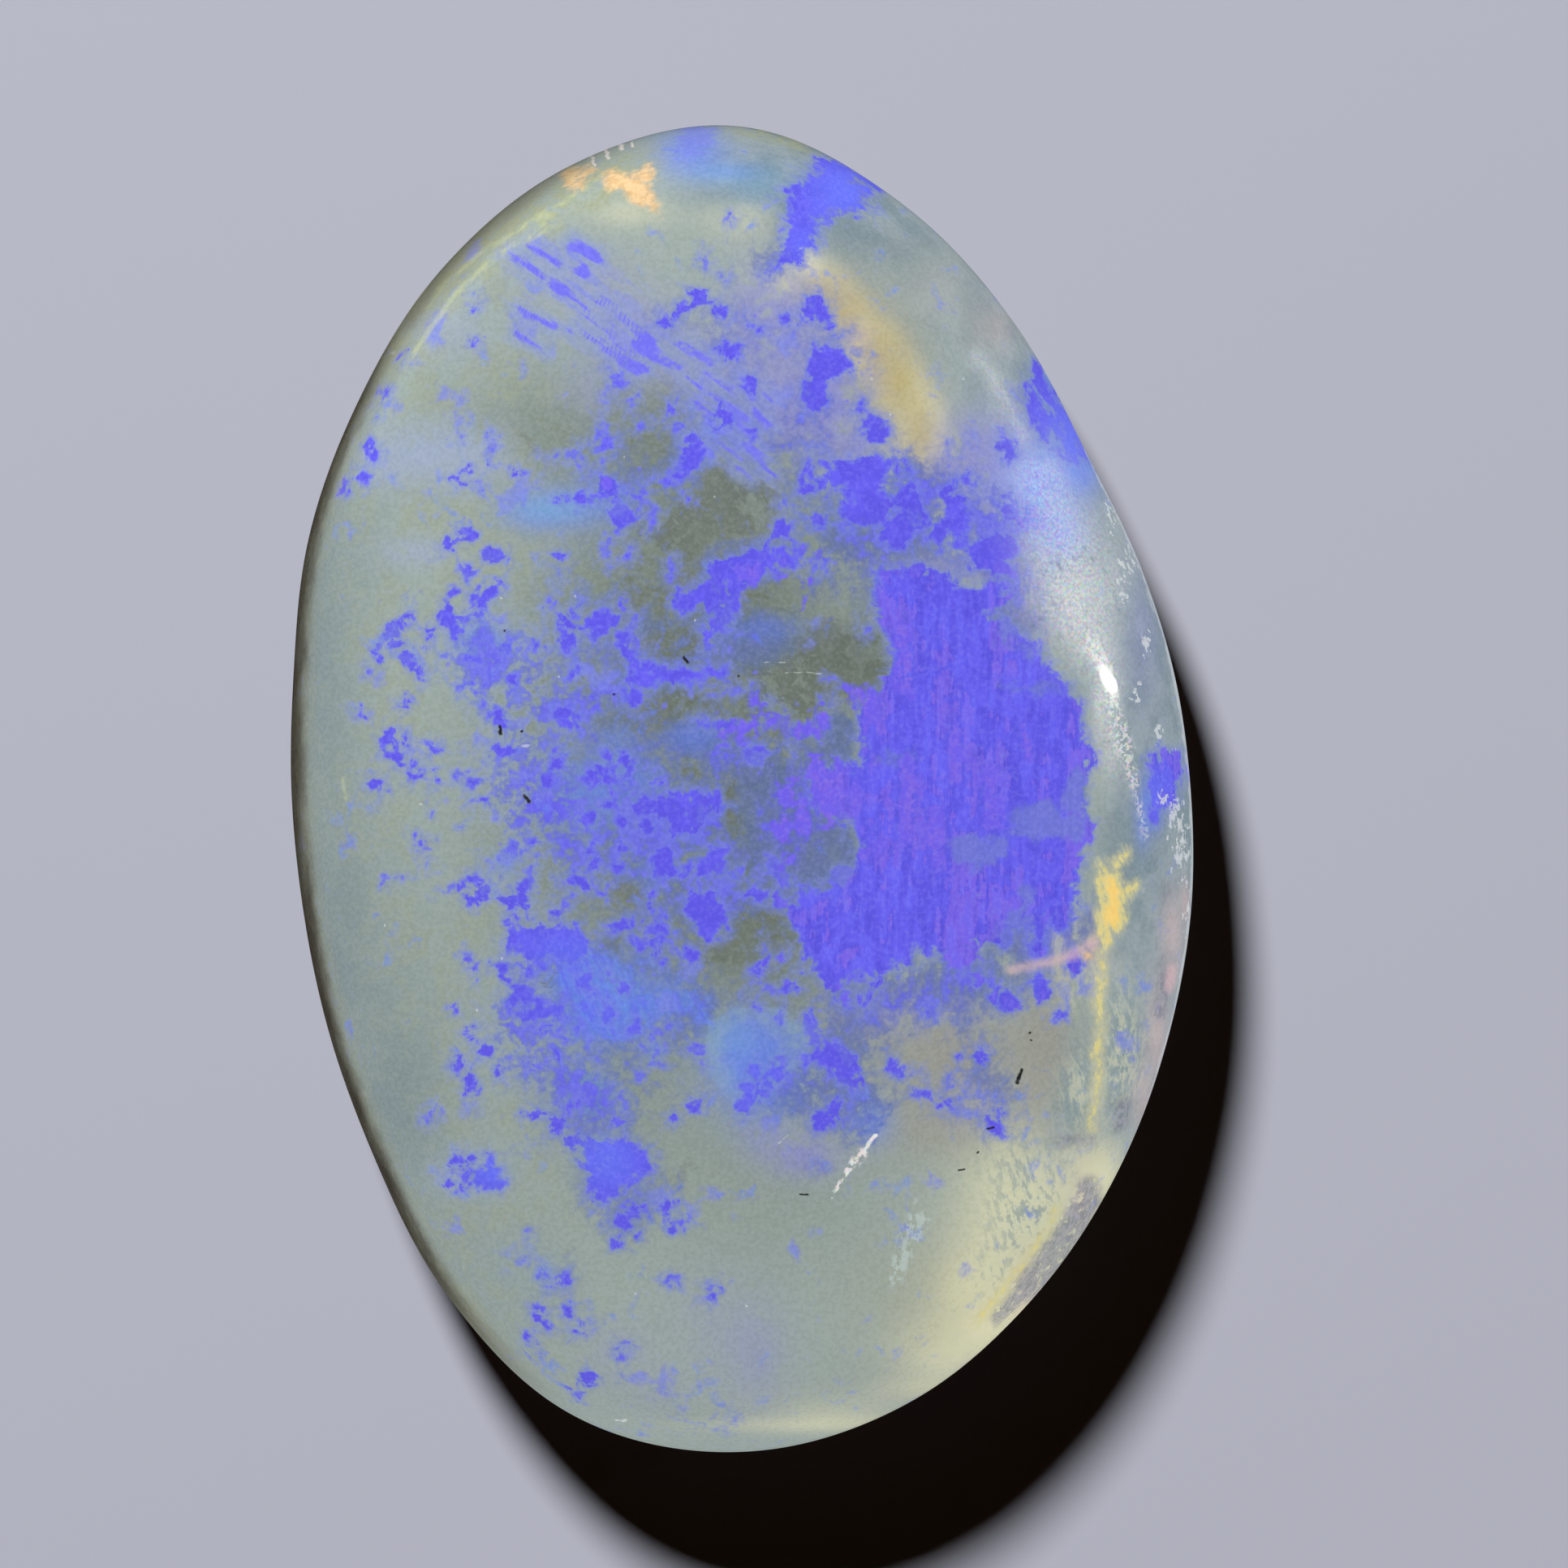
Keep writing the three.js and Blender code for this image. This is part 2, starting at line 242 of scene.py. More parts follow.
PINK_LINES = {
    .02: [(2.62, -1.76, 2.83, -1.72, 3.06, -1.67, 3.25, -1.6, 3.42, -1.47), (4.2, -1.75, 4.17, -1.95)],
    .05: [(3.4, -1.5)],
}
# The peach flake at the top, with its specks.
PEACH_STROKES = {
    .02: [(-1.5, 6.02), (3.38, -1.62)],
    .025: [(-.95, 5.72, -.82, 5.62)],
    .035: [(-1, 5.93, -.92, 5.98)],
    .05: [(-1.3, 5.93, -1.12, 5.88), (-1.02, 5.76, -.93, 5.72)],
    .06: [(-1.1, 5.87, -1, 5.8), (-1.66, 5.98, -1.62, 5.9)],
}
# The frosted shoulder, with a painted sheen over it and the painted spot of the glint near its foot.
FROST_AND_SHEEN_STROKES = {
    -.04: [(2.3, 4.2, 2.45, 4, 2.6, 3.7, 2.75, 3.4)],
    .03: [(3.5, 1.15, 3.6, 1)],
    .12: [(3.3, 1.6, 3.45, 1.3)],
    .16: [(2.9, 3, 3.1, 2.5, 3.2, 2, 3.25, 1.6)],
}
# Painted highlight: the glint's glittering streak along the shoulder, above and below it.
GLINT_STREAKS = {
    .035: [(3.82, .05, 3.93, -.48)],
    .06: [(3.73, .38, 3.82, .05)],
    .08: [(3.58, .9, 3.66, .6)],
    .09: [(3.38, 1.42, 3.52, 1.2)],
    .1: [(3.66, .6, 3.73, .38)],
}
# The narrow shoulder at the upper left, and painted highlights: thin pale lines along the edges beside it.
STRIP = {.07: [(-.1, 6.42, .25, 6.41, .6, 6.28)], .17: [(-.9, 6.1, -1.7, 5.72, -2.4, 5.28, -2.9, 4.78, -3.3, 4.3)]}
EDGE_HIGHLIGHTS = {
    .008: [(-3.88, .1, -3.85, -.1)],
    .016: [(-3, 5.03, -3.45, 4.4)],
    .02: [(-1.6, 5.79, -1.93, 5.6, -2.56, 5.2, -2.93, 4.89, -3.18, 4.54),
        (-1.34, 5.98, -1.7, 5.68, -2.06, 5.4, -2.45, 5.12, -2.76, 4.85, -3.05, 4.45, -3.25, 4.15)],
    .022: [(-1.6, 5.6, -2, 5.37, -2.27, 5.25, -2.5, 5.08, -2.73, 4.86)],
}
# A faint scar at the lower right.
FAINT_SCAR = {.1: [(1.62, -4.4, 1.48, -4.75)], .12: [(1.77, -4.05, 1.62, -4.4)]}
# Violet patches.
VIOLET_PATCHES = [
    # the great patch right of the middle
    (1.27, 2.16, 1.77, 2.1, 2.2, 1.95, 2.6, 2.05, 2.57, 1.84, 2.38, 1.73, 2.72, 1.5, 2.9, 1.35, 3.02, 1.18, 3.17, .97,
     3.3, .76, 3.34, .5, 3.42, .4, 3.3, .12, 3.25, -.25, 3.27, -1.15, 3.04, -1.2, 2.7, -1.35, 2.3, -1.45, 1.7, -1.64,
     1.52, -1.77, 1.2, -1.9, 1, -1.95, .97, -2, .78, -1.83, .67, -1.7, .65, -1.5, .5, -1.37, .45, -1, .7, -.9,
     1.1, -.75, 1.08, -.3, .85, -.3, .7, -.1, .68, .15, .85, .22, 1.1, .3, 1.15, .75, 1.35, .95, 1.42, 1.2, 1.35, 1.5,
     1.28, 1.7),
    # the wedge at the top rim
    (.86, 6.17, 1.3, 5.9, 1.28, 5.77, 1, 5.56, .76, 5.46, .67, 5.27, .5, 5.17, .42, 5.25, .41, 5.46, .44, 5.75,
     .55, 5.9, .78, 6.12),
    # the shell-shaped flake below left
    (-1.43, -3.45, -1.3, -3.38, -1.15, -3.41, -1, -3.52, -.8, -3.55, -.92, -3.75, -1.1, -3.88, -1.24, -3.97,
     -1.3, -4.02, -1.42, -4.02, -1.46, -3.9, -1.48, -3.72, -1.6, -3.6),
    # the three-cornered flake left of the middle
    (-1.18, 1.42, -1, 1.3, -.75, 1.16, -.45, 1.2, -.15, 1.22, -.05, 1.08, -.35, .97, -.7, 1, -.88, .9, -1, .72,
     -1.13, .8, -1.1, 1.08),
    # the flake below it to the left
    (-2.3, -1.3, -2.1, -1.27, -1.95, -1.36, -1.8, -1.3, -1.54, -1.33, -1.45, -1.5, -1.6, -1.64, -1.85, -1.6,
     -2, -1.7, -2.28, -1.62, -2.33, -1.48),
    # on the right rim
    (3.9, .05, 3.97, .22, 4.1, .33, 4.27, .32, 4.29, .1, 4.23, -.08, 4.14, -.2, 4.04, -.34, 3.95, -.3, 3.89, -.12),
]
# The fan below the middle, and the bright blue flake to its upper left.
CYAN_PATCHES = [
    (-.3, -2.25, -.1, -2.12, .3, -2.1, .62, -2.3, .7, -2.55, .45, -2.8, .3, -2.98, .12, -3.08, -.03, -3.17,
     -.1, -3.08, -.22, -2.9, -.33, -2.75, -.37, -2.58, -.36, -2.4),
]
BLUE_PATCHES = [
    (-1.75, -1.6, -1.45, -1.65, -1.3, -1.75, -1.1, -1.95, -.9, -2.05, -.65, -1.98, -.62, -2.08, -.85, -2.25,
     -1.05, -2.4, -1.3, -2.42, -1.55, -2.5, -1.7, -2.3, -1.62, -2),
]
# The blue wedge at the top.
LILAC_PATCHES = [(-.6, 6.6, -.35, 6.6, -.33, 6.3, -.42, 6.15, -.58, 6.2)]
# Grey-blue and darker places in the body.
GREY_BLUE = [
    (-4.25, 1.2, .6, 2.2, .8), (-4.1, -1.6, .65, 1.6, .9), (-3.4, -3.2, .7, 1.4, .8), (-2.6, -4.9, .9, 1.2, .3),
    (-3.9, 2.6, .4, .8, .4), (.3, 6.1, 1, .3, .4), (4.08, -.85, .2, .3, .9), (1.5, 5.3, .5, .4, .5),
    (.1, 5.95, .3, .12, .4), (.34, 5.62, .16, .3, .8), (1.15, 5.35, .35, .25, .6), (.15, 5.85, .35, .12, .5),
]
DARK_BODY = [
    (-1.5, 1.2, 1, 1.3, .55), (-1.7, -.6, .9, 1.2, .45), (-2, 3.5, .8, .6, .4), (-.9, 3.5, .5, .6, .5),
    (-1.2, -2.6, .8, 1, .3), (.4, -1.9, .6, .5, .4), (1.6, 2.3, .5, .3, .3), (-.2, 1.7, 1.3, 1.5, .9),
    (-1.1, .2, 1.1, 1.5, .3), (1.1, 1.2, .5, .5, .9), (.2, -1.4, .6, .5, .8), (.3, -.6, 1.1, 1.3, .8),
    (-.4, 3.2, .9, .8, .5), (-.8, -1.4, 1, .8, .4), (-.4, -3, 1.5, 1.2, .2), (-1.6, 3.4, 1, .7, .25),
    (.2, -4, 1.2, .8, .2),
]
# Holes in the play of colour, where the body shows.
OLIVE = [
    (-.7, 1.4, .35, .17, 1), (.95, 1.3, .5, .2, 1), (.5, .9, .28, .2, 1), (-.65, .8, .42, .18, .8),
    (-.1, -.1, .1, .26, 1), (-.05, .52, .5, .08, .7), (.1, 1.05, .4, .2, .8), (-.05, .72, .4, .1, .7),
    (-.1, 2.8, .5, .33, 1), (-.75, 2.5, .33, .42, .8), (-.9, 3.3, .25, .25, .6), (-1.9, 3.4, .5, .3, .4),
    (.9, 1.25, .5, .33, .9), (.5, .85, .35, .2, .9), (-.76, .92, .2, .18, .7), (-1.1, .62, .4, .18, .7),
    (-.9, 1.9, .5, .4, .5), (.3, 1.85, .4, .16, .6), (1.33, 1.38, .16, .14, 1), (1.36, 1.08, .18, .14, 1),
    (-.5, .15, .22, .2, .7), (0, -.25, .13, .3, .9), (.2, -1.35, .45, .3, .5), (-1.15, -1, .25, .2, .6),
    (-1.25, -1.6, .28, .3, .6), (-.9, -1.85, .18, .22, .5), (-1.85, -1.9, .15, .13, .9), (-1.63, -2.62, .12, .12, .7),
    (-.6, -3.6, 1, .6, .25), (-.25, -1.65, .25, .15, .6), (-1.9, 1, .25, .25, .4),
]
# Grey-blue body between the flakes.
SLATE = [
    (.78, -.6, .3, .35, 1), (.93, .58, .18, .16, .9), (.87, .32, .22, .1, .7), (2.88, -.32, .3, .2, 1),
    (2.3, -.6, .3, .16, .9), (2.69, -1.4, .17, .22, .8), (.1, 1.42, .4, .25, .8), (-.44, .5, .3, .17, .8),
    (2.72, 1.62, .24, .14, .8), (.25, .0, .3, .35, .7), (3.25, .02, .12, .2, .7), (2.75, -1, .12, .1, .6),
    (2.67, -1.45, .12, .14, .7), (2.65, 1, .25, .1, .6), (1.5, .28, .25, .16, .8), (.25, -.15, .2, .35, .9),
    (.75, -.75, .3, .3, .6), (3, .95, .3, .12, .5), (2.8, 1.3, .2, .12, .5), (1.7, 1.55, .1, .2, .35),
    (1, 2.45, .3, .3, .4), (-.9, 1.55, .3, .15, .4), (.3, -.5, .3, .3, .5), (.0, -.75, .3, .2, .4),
]
# Where flakes lie close, so that their colour runs together.
HAZE = [
    (-1.9, .9, .55, .5, .6), (-1.1, .75, .75, .45, .6), (-.5, 1.35, .6, .4, .45), (-2, 0, .5, .5, .6),
    (-1.5, -.5, .7, .5, .7), (-2.4, 1.3, .4, .3, .5), (-1, 1.9, .6, .3, .3), (-1.6, 1.9, .5, .4, .3),
    (-.7, 3, .45, .35, .6), (-1.35, 3.1, .35, .4, .5), (-.1, 3.55, .45, .4, .5), (-.2, .3, .5, .4, .4),
    (.2, -.2, .5, .5, .3), (-.7, -.5, .5, .4, .5), (-.2, -1, .5, .3, .4), (2.2, 2.5, .5, .5, .5),
    (1.5, 2.7, .4, .4, .5), (-1.1, 4.35, .5, .3, .35), (.8, 3.9, .4, .6, .5), (-2.55, 1.2, .3, .35, .6),
    (-1.6, -2.2, .7, .5, .6), (-2.05, -2.3, .35, .4, .5), (.3, .3, .5, .4, .45), (.2, -.7, .5, .6, .45),
    (1.7, 2.8, .65, .35, .8), (2.4, 2.5, .4, .4, .6), (1.2, 2.35, .5, .4, .6), (.4, 3.3, .5, .45, .5),
    (.25, 5.1, .25, .2, .5), (-.6, 1.2, .5, .3, .3), (-1.3, 1.1, .45, .35, .4), (-.45, .5, .4, .25, .3),
    (.2, 1.5, .45, .3, .4), (-2.6, 1.35, .5, .4, .3), (-2.3, .85, .4, .3, .35), (-3.05, .2, .4, .3, .35),
    (-2.4, .05, .4, .3, .35), (-1.5, -.1, .6, .5, .6), (-.6, -.2, .5, .4, .7), (-.4, -1, .5, .45, .5),
    (-1, -.8, .7, .35, .35), (-2.2, -.8, .35, .35, .35), (-1.8, -1.7, .6, .4, .6), (-1.5, -2.3, .6, .5, .6),
    (-.9, -1.7, .6, .4, .4), (-.5, -2.2, .5, .35, .4), (-1.5, -3, .5, .4, .6), (-2.1, -2.6, .5, .3, .35),
    (-2.6, -3.7, .35, .25, .5), (-1.2, -3.8, .45, .35, .45), (.6, -3.6, .4, .28, .2), (-1.9, 2.2, .4, .3, .1),
    (.5, -2.8, .5, .35, .6), (-1.45, -3.05, .25, .25, .6), (1.6, -2.1, .65, .3, .8), (2.2, -1.85, .5, .25, .5),
    (1.2, -3.2, .35, .3, .6), (2.3, -2.9, .4, .4, .35), (.8, -2.5, .4, .35, .5), (-1.9, -4.7, .35, .35, .35),
    (2.95, -1.4, .5, .35, .6), (2.8, 1.9, .4, .5, .7), (2.85, 3.55, .3, .5, .4), (.0, 4.4, .4, .3, .5),
    (-1.2, -4.1, .25, .3, .35), (0.1, 2.2, .7, .3, .5), (.55, -.2, .3, .6, .3),
]
# Pale veils without flakes in them.
MIST = [
    (-3.1, 3.25, .55, .3, .95), (-2.6, 3.3, .35, .25, .7), (-3.45, 3.1, .18, .2, .6), (-3.2, 2.3, .35, .16, .7),
    (-2.75, 2.95, .25, .12, .4), (-2.3, 3.1, .2, .1, .3), (-1.7, 4.95, .5, .3, .6), (-1.1, 4.5, .5, .35, .6),
    (-.4, 4.1, .5, .35, .4), (.2, 4.6, .45, .5, .7), (-1.4, 3.9, .4, .3, .4), (-2.7, 4.4, .35, .3, .4),
    (-3, 4.5, .3, .25, .4), (.5, 4.5, .4, .4, .5), (.9, 3.85, .36, .5, .9), (.5, 3.7, .35, .4, .6),
    (1.1, 3.3, .35, .3, .7), (.3, 3.9, .5, .6, .5), (2.2, 3, .35, .35, .8), (2.4, 2.85, .5, .6, .95),
    (2.5, 3.3, .3, .3, .7), (1.9, 2.15, .6, .12, .5), (2.6, 2.2, .35, .3, .7), (2.2, 3.4, .3, .3, .4),
    (.6, -3.55, .35, .22, .7), (.2, -3.4, .25, .2, .4), (.15, -5.5, .3, .5, .4), (-.8, -5.85, .25, .2, .25),
    (-2.7, -3.75, .35, .2, .5), (2.95, -1.4, .3, .3, .6), (1.6, -2.15, .6, .22, .6), (2.85, 1.75, .25, .3, .6),
    (-1.2, -5.5, .3, .3, .3), (-.3, -5.2, .4, .5, .2), (2.2, -3, .3, .25, .4), (3.9, 1.5, .2, .7, .35),
]
# Blue and blue-green light in the veils.
BLUE = [
    (-1.65, 2.72, .5, .22, .6), (-2.05, 2.68, .3, .16, .5), (-2.52, 1.4, .22, .2, .9), (-1.45, -.05, .45, .35, .7),
    (-1.1, .05, .3, .25, .5), (-.58, -.33, .2, .18, .6), (-1.35, -2.05, .45, .4, 1), (-1.68, -1.9, .18, .15, .6),
    (-.87, -.8, .15, .15, .5), (-1.5, -3, .25, .2, .7), (-1.3, -3.55, .22, .15, .7), (.1, -2.7, .4, .45, .9),
    (1.28, -3.25, .2, .22, .5), (-.5, 6.2, .35, .25, .75), (-.15, 6, .3, .08, .5), (3.25, 3.1, .25, .28, 1),
    (3.1, 3.2, .2, .2, .6), (3, 3.95, .16, .25, .8), (3.25, 3.55, .22, .3, .9), (3.98, -.15, .12, .25, .9),
    (3.9, -.4, .07, .2, .5), (.2, 1.55, .5, .12, .3), (-.84, -2.53, .1, .1, .6), (-2.45, -3.78, .16, .12, .6),
    (.62, 5.6, .14, .35, .6), (-1.92, -4.7, .1, .1, .5), (4.1, .1, .14, .22, .6), (-.7, -2, .25, .2, .5),
    (-2.3, -.72, .12, .12, .5), (-.45, .5, .28, .15, .5), (-1.2, .5, .2, .2, .4), (-.9, 1.05, .3, .1, .5),
    (-.2, 3.7, .1, .1, .3),
]
CYAN = [
    (-1.85, 2.72, .35, .13, .8), (-1.2, -2.05, .2, .2, .7), (-.05, -2.45, .25, .2, .9), (-1.5, -2.9, .15, .1, .5),
    (-1.4, -3.5, .12, .08, .6), (-1.15, .1, .12, .12, .6), (.5, 5.35, .08, .1, .4), (-.2, 5.98, .3, .12, .5),
    (.2, 5.9, .3, .2, .5),
]
# Flakes that show more blue than violet.
BLUISH = [
    (1, 5.8, .35, .35, 1), (3.25, 3.4, .35, .5, 1), (4.05, 0, .12, .3, .7), (-1.3, -3.6, .3, .3, .9),
    (-1.7, -1.6, .4, .25, .6), (-2.4, -3.7, .2, .15, .8), (.1, -2.7, .4, .5, .6), (-1.4, -2.2, .5, .5, .6),
    (-2.5, 1.4, .3, .3, .4), (-2.45, -3.75, .2, .15, .4), (.6, 5.3, .2, .2, .5),
]
# The pinker heart of the great patch.
PALE_HEART = [
    (1.45, -.35, .3, .7, 1), (1.55, 1.5, .3, .3, 1), (.85, 0, .2, .4, 1), (1.9, -.4, .25, .7, .8),
    (2.1, .5, .3, .5, .6), (1.2, -.8, .3, .4, .5),
]
# Warm, orange, tan and pink places. The pale warm places at the lower right are partly painted light, the glow of
# light passing through the stone.
WARM_AND_GLOW_PLACES = [
    (1.65, 3.5, .3, .35, .55), (0, 5.55, .35, .22, .25), (.5, 4.95, .3, .2, .45), (1.45, 3.9, .22, .3, .55),
    (2.95, -4.2, .4, .7, .5), (2.55, -5, .5, .6, .7), (1.95, -5.5, .5, .35, .6), (3.45, -3.7, .3, .4, .9),
    (3.5, -2.6, .2, .7, .7), (2.7, -4, .6, .8, .7), (3.3, -1.6, .3, .4, .4), (2.4, -4.9, .5, .6, .35),
    (-1.1, 5.6, .4, .15, .35), (3.45, -1.75, .2, .25, .5), (.9, -6.1, .7, .2, .3), (3.5, .4, .15, .4, .35),
    (3.42, -3.62, .2, .2, .9), (2.55, -5, .5, .4, .95), (2.9, -4.3, .4, .5, .6), (.7, -6.2, 1, .08, .4),
    (1.8, -5.85, .5, .12, .4),
]
ORANGE = [
    (.8, 4.87, .25, .18, .7), (1.05, 4.62, .26, .22, .9), (1.3, 4.27, .26, .28, 1), (1.52, 3.9, .2, .3, 1),
    (1.72, 3.45, .18, .35, .8), (1.7, -4.9, .7, .6, .18),
]
TAN = [
    (2, -2.6, .8, .5, .8), (2.95, -2.5, .4, .7, .8), (1.9, -3.3, .7, .35, .6), (1.2, -2.3, .3, .2, .4),
    (1.45, 4.1, .35, .55, .8), (.9, 4.75, .35, .3, .8), (1.75, 3.4, .25, .4, .6), (3, -3.1, .3, .4, .5),
    (1.6, -5.9, .5, .2, .2),
]
PINK_GLOWS = [
    (2.45, 4.5, .25, .25, .4), (3.2, 1.75, .15, .25, .4), (4.2, -1.4, .12, .4, .9), (4.17, -1.84, .07, .08, 1),
    (4.05, -2.4, .12, .5, .9), (3.9, -3, .12, .35, .8), (3.3, -1.65, .25, .12, .5), (1.15, 4.4, .15, .12, .3),
    (3.3, -4.05, .12, .3, .6), (2.75, -4.9, .12, .35, .6), (4.33, -1.1, .05, .2, .9), (1.9, 4.9, .3, .3, .2),
]
# Frost on the right shoulder, with a painted sheen over it and a painted halo round the glint at 3.56, 1.05, and
# where it is blue.
FROST_AND_SHEEN_GLOWS = [
    (2.95, 2.75, .3, .5, .6), (3.56, 1.05, .12, .2, .9), (3.12, 2.4, .3, .4, .8), (3.2, 1.9, .34, .45, .95),
    (3.38, 1.45, .2, .3, .9), (2.5, 3.8, .16, .35, .3), (3.55, 2, .28, .5, .4), (3.5, .85, .1, .35, .8),
    (3.6, .4, .1, .35, .6), (3.78, .1, .07, .2, .4),
]
FROST_BLUE = [(2.85, 2.95, .35, .5, 1), (3.1, 2.5, .25, .3, .7)]
# Where the colour runs in slanting streaks.
SLANT_AREA = [
    (-1.6, 4.8, .55, .3, .9), (-1, 4.35, .45, .25, .8), (-.3, 3.7, .4, .35, .8), (.05, 3.3, .3, .3, .6),
    (-.2, 4.2, .3, .2, .5),
]
# The hatched veil at the lower right.
HATCH = [
    (3.68, -2.55, .2, .55, 1), (3.3, -2.95, .2, .35, .9), (2.8, -4.2, .35, .45, .9), (2.75, -3.7, .4, .35, .5),
    (3.3, -1.95, .2, .25, .5), (2.45, -4.75, .25, .3, .5),
]
# Pale chips at the rim.
CRUMBLY = [
    (4.22, -.3, .1, .22, .9), (4.28, -.62, .09, .25, .95), (4.15, -.1, .1, .15, .5), (3.62, 2.68, .09, .2, .7),
    (3.78, 2.2, .1, .25, .7), (3.7, 1.9, .06, .15, .5), (3.95, 1.35, .06, .3, .45), (3.85, .9, .08, .12, .6),
    (4.05, .55, .08, .06, .7), (4.15, .42, .1, .05, .7), (4.33, -1.2, .05, .4, .5), (-1.15, -6.15, .1, .03, .9),
]
# Ticks at the top rim, a scar, scratches, dark specks and white dots.
TICKS = {
    .016: [(-1.08, 6.31, -1.06, 6.27)],
    .02: [(-1.47, 6.17, -1.43, 6.08)],
    .026: [(-1.33, 6.23, -1.3, 6.15)],
    .032: [(-1.2, 6.33, -1.17, 6.24)],
}
SCAR = {
    .025: [(.98, -3.76, .86, -3.98)],
    .03: [(1.17, -3.56, 1.3, -3.38)],
    .04: [(1, -3.74, 1.1, -3.63)],
    .075: [(1.1, -3.63, 1.17, -3.56)],
}
SCRATCHES = {
    .008: [(.22, 1.225, .42, 1.225), (.43, 1.12, .78, 1.12)],
    .01: [(.35, -3.45, .43, -3.37)],
    .02: [(-2.17, .42, -2.07, .42)],
}
SPECKS = {
    .012: [(2.1, -3.71, 2.16, -3.69), (.56, -3.94, .63, -3.95)],
    .014: [(2.4, -3.31, 2.46, -3.29)],
    .018: [(-1.24, .92), (2.79, -2.37), (2.8, -2.45)],
    .02: [(-2.14, .55), (-2.3, 1.53), (-.04, 1.08), (2.29, -3.53)],
    .025: [(-2.12, -.07, -2.07, -.12), (-.57, 1.26, -.53, 1.22), (2.7, -2.73, 2.66, -2.84)],
    .028: [(-2.34, .6, -2.35, .54)],
}
WHITE_DOTS = {
    .014: [(-1.15, 3.22)],
    .016: [(-.27, 2.84), (-.46, 1.63), (-1.77, 1.08), (-3.11, -.16), (-2.32, -1.65), (1.46, 3.62)],
    .018: [(-1.6, 1.87), (-2.34, 1.85), (-3.48, -1.33), (-1.03, -4.9), (.05, -5.03), (2.15, 3.99)],
    .02: [(1.27, 3.96), (-2.57, -2.15)],
    .03: [(-3.4, 4.25)],
}

# The fields that the material reads, by name: the soft ones, and those with an edge, each with its
# strokes, its patches and how far from the edge it counts.
GLOWS = {
    "grey_blue": GREY_BLUE, "dark_body": DARK_BODY, "olive": OLIVE, "slate": SLATE, "haze": HAZE, "mist": MIST,
    "blue": BLUE, "cyan": CYAN, "bluish": BLUISH, "orange": ORANGE, "tan": TAN, "pink": PINK_GLOWS,
    "frost_blue": FROST_BLUE, "slant_area": SLANT_AREA, "hatch": HATCH, "crumbly": CRUMBLY,
}
EDGED = {
    "violet": (VIOLET_STROKES, VIOLET_PATCHES, 0.4),
    "lilac": (LILAC_STROKES, LILAC_PATCHES, 0.4),
    "purple": (PURPLE_STROKES, [], 0.4),
    "cyan_patch": ({}, CYAN_PATCHES, 0.4),
    "blue_patch": ({}, BLUE_PATCHES, 0.4),
    "streaks": (VIOLET_STREAKS, [], 0.3),
    "gold": (GOLD_STROKES, [], 0.3),
    "peach": (PEACH_STROKES, [], 0.3),
    "pink_line": (PINK_LINES, [], 0.3),
    "edge_highlight": (EDGE_HIGHLIGHTS, [], 0.2),
    "glint_streak": (GLINT_STREAKS, [], 0.2),
    "faint_scar": (FAINT_SCAR, [], 0.2),
}


def legs(*paths):
    """The straight legs of paths given as x, y, x, y and so on. A single spot is a leg of no length."""
    for path in paths:
        points = np.array(path, float).reshape(-1, 2)
        count = max(len(points) - 1, 1)
        yield from zip(points[:count], points[-count:])


def distance(spots, start, end):
    """From each spot to the straight leg between two points."""
    run = end - start
    share = np.clip((spots - start) @ run / max(run @ run, NO_LENGTH), 0, 1)
    return np.hypot(*(spots - start - share[:, None] * run).T)


def along(spots, strokes):
    """How far each spot is inside the nearest stroke, in millimetres, and less than 0 outside them all."""
    inside = np.full(len(spots), -FAR)
    for half_width, paths in strokes.items():
        for start, end in legs(*paths):
            inside = np.maximum(inside, half_width - distance(spots, start, end))
    return inside


def within(spots, patches):
    """How far each spot is inside a patch, in millimetres, and less than 0 outside them all."""
    inside = np.full(len(spots), -FAR)
    for corners in patches:
        points = np.array(corners, float).reshape(-1, 2)
        gap = np.full(len(spots), FAR)
        crossings = np.zeros(len(spots), int)
        for start, end in zip(points, np.roll(points, -1, axis=0)):
            gap = np.minimum(gap, distance(spots, start, end))
            spans = (start[1] > spots[:, 1]) != (end[1] > spots[:, 1])
            if end[1] != start[1]:
                side = start[0] + (spots[:, 1] - start[1]) * (end[0] - start[0]) / (end[1] - start[1])
                crossings += spans & (spots[:, 0] < side)
        inside = np.maximum(inside, np.where(crossings % 2 == 1, gap, -gap))
    return inside


def glow(spots, places):
    """Soft round places added up, to 1 at most."""
    left = np.ones(len(spots))
    for x, y, across, up, strength in places:
        reach = ((spots[:, 0] - x) / across) ** 2 + ((spots[:, 1] - y) / up) ** 2
        left *= 1 - strength * np.exp(-reach)
    return 1 - left


def step(value, low, high):
    """0 below low, 1 above high, and smooth between."""
    share = np.clip((value - low) / (high - low), 0, 1)
    return share * share * (3 - 2 * share)


# ----- The stone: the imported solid's shape, with its facets smoothed out.


def only(stone):
    """Selects this piece alone."""
    bpy.ops.object.select_all(action="DESELECT")
    stone.select_set(True)
    bpy.context.view_layer.objects.active = stone


def pick_faces(stone, lowest, highest):
    """Goes into edit mode with the faces selected whose normal rises between these shares of upright."""
    bpy.ops.object.mode_set(mode="EDIT")
    bpy.ops.mesh.select_mode(type="FACE")
    bpy.ops.mesh.select_all(action="DESELECT")
    bpy.ops.object.mode_set(mode="OBJECT")
    faces = stone.data.polygons
    normals = np.zeros(len(faces) * 3)
    faces.foreach_get("normal", normals)
    rises = normals.reshape(-1, 3)[:, 2]
    faces.foreach_set("select", (rises > lowest) & (rises < highest))
    bpy.ops.object.mode_set(mode="EDIT")


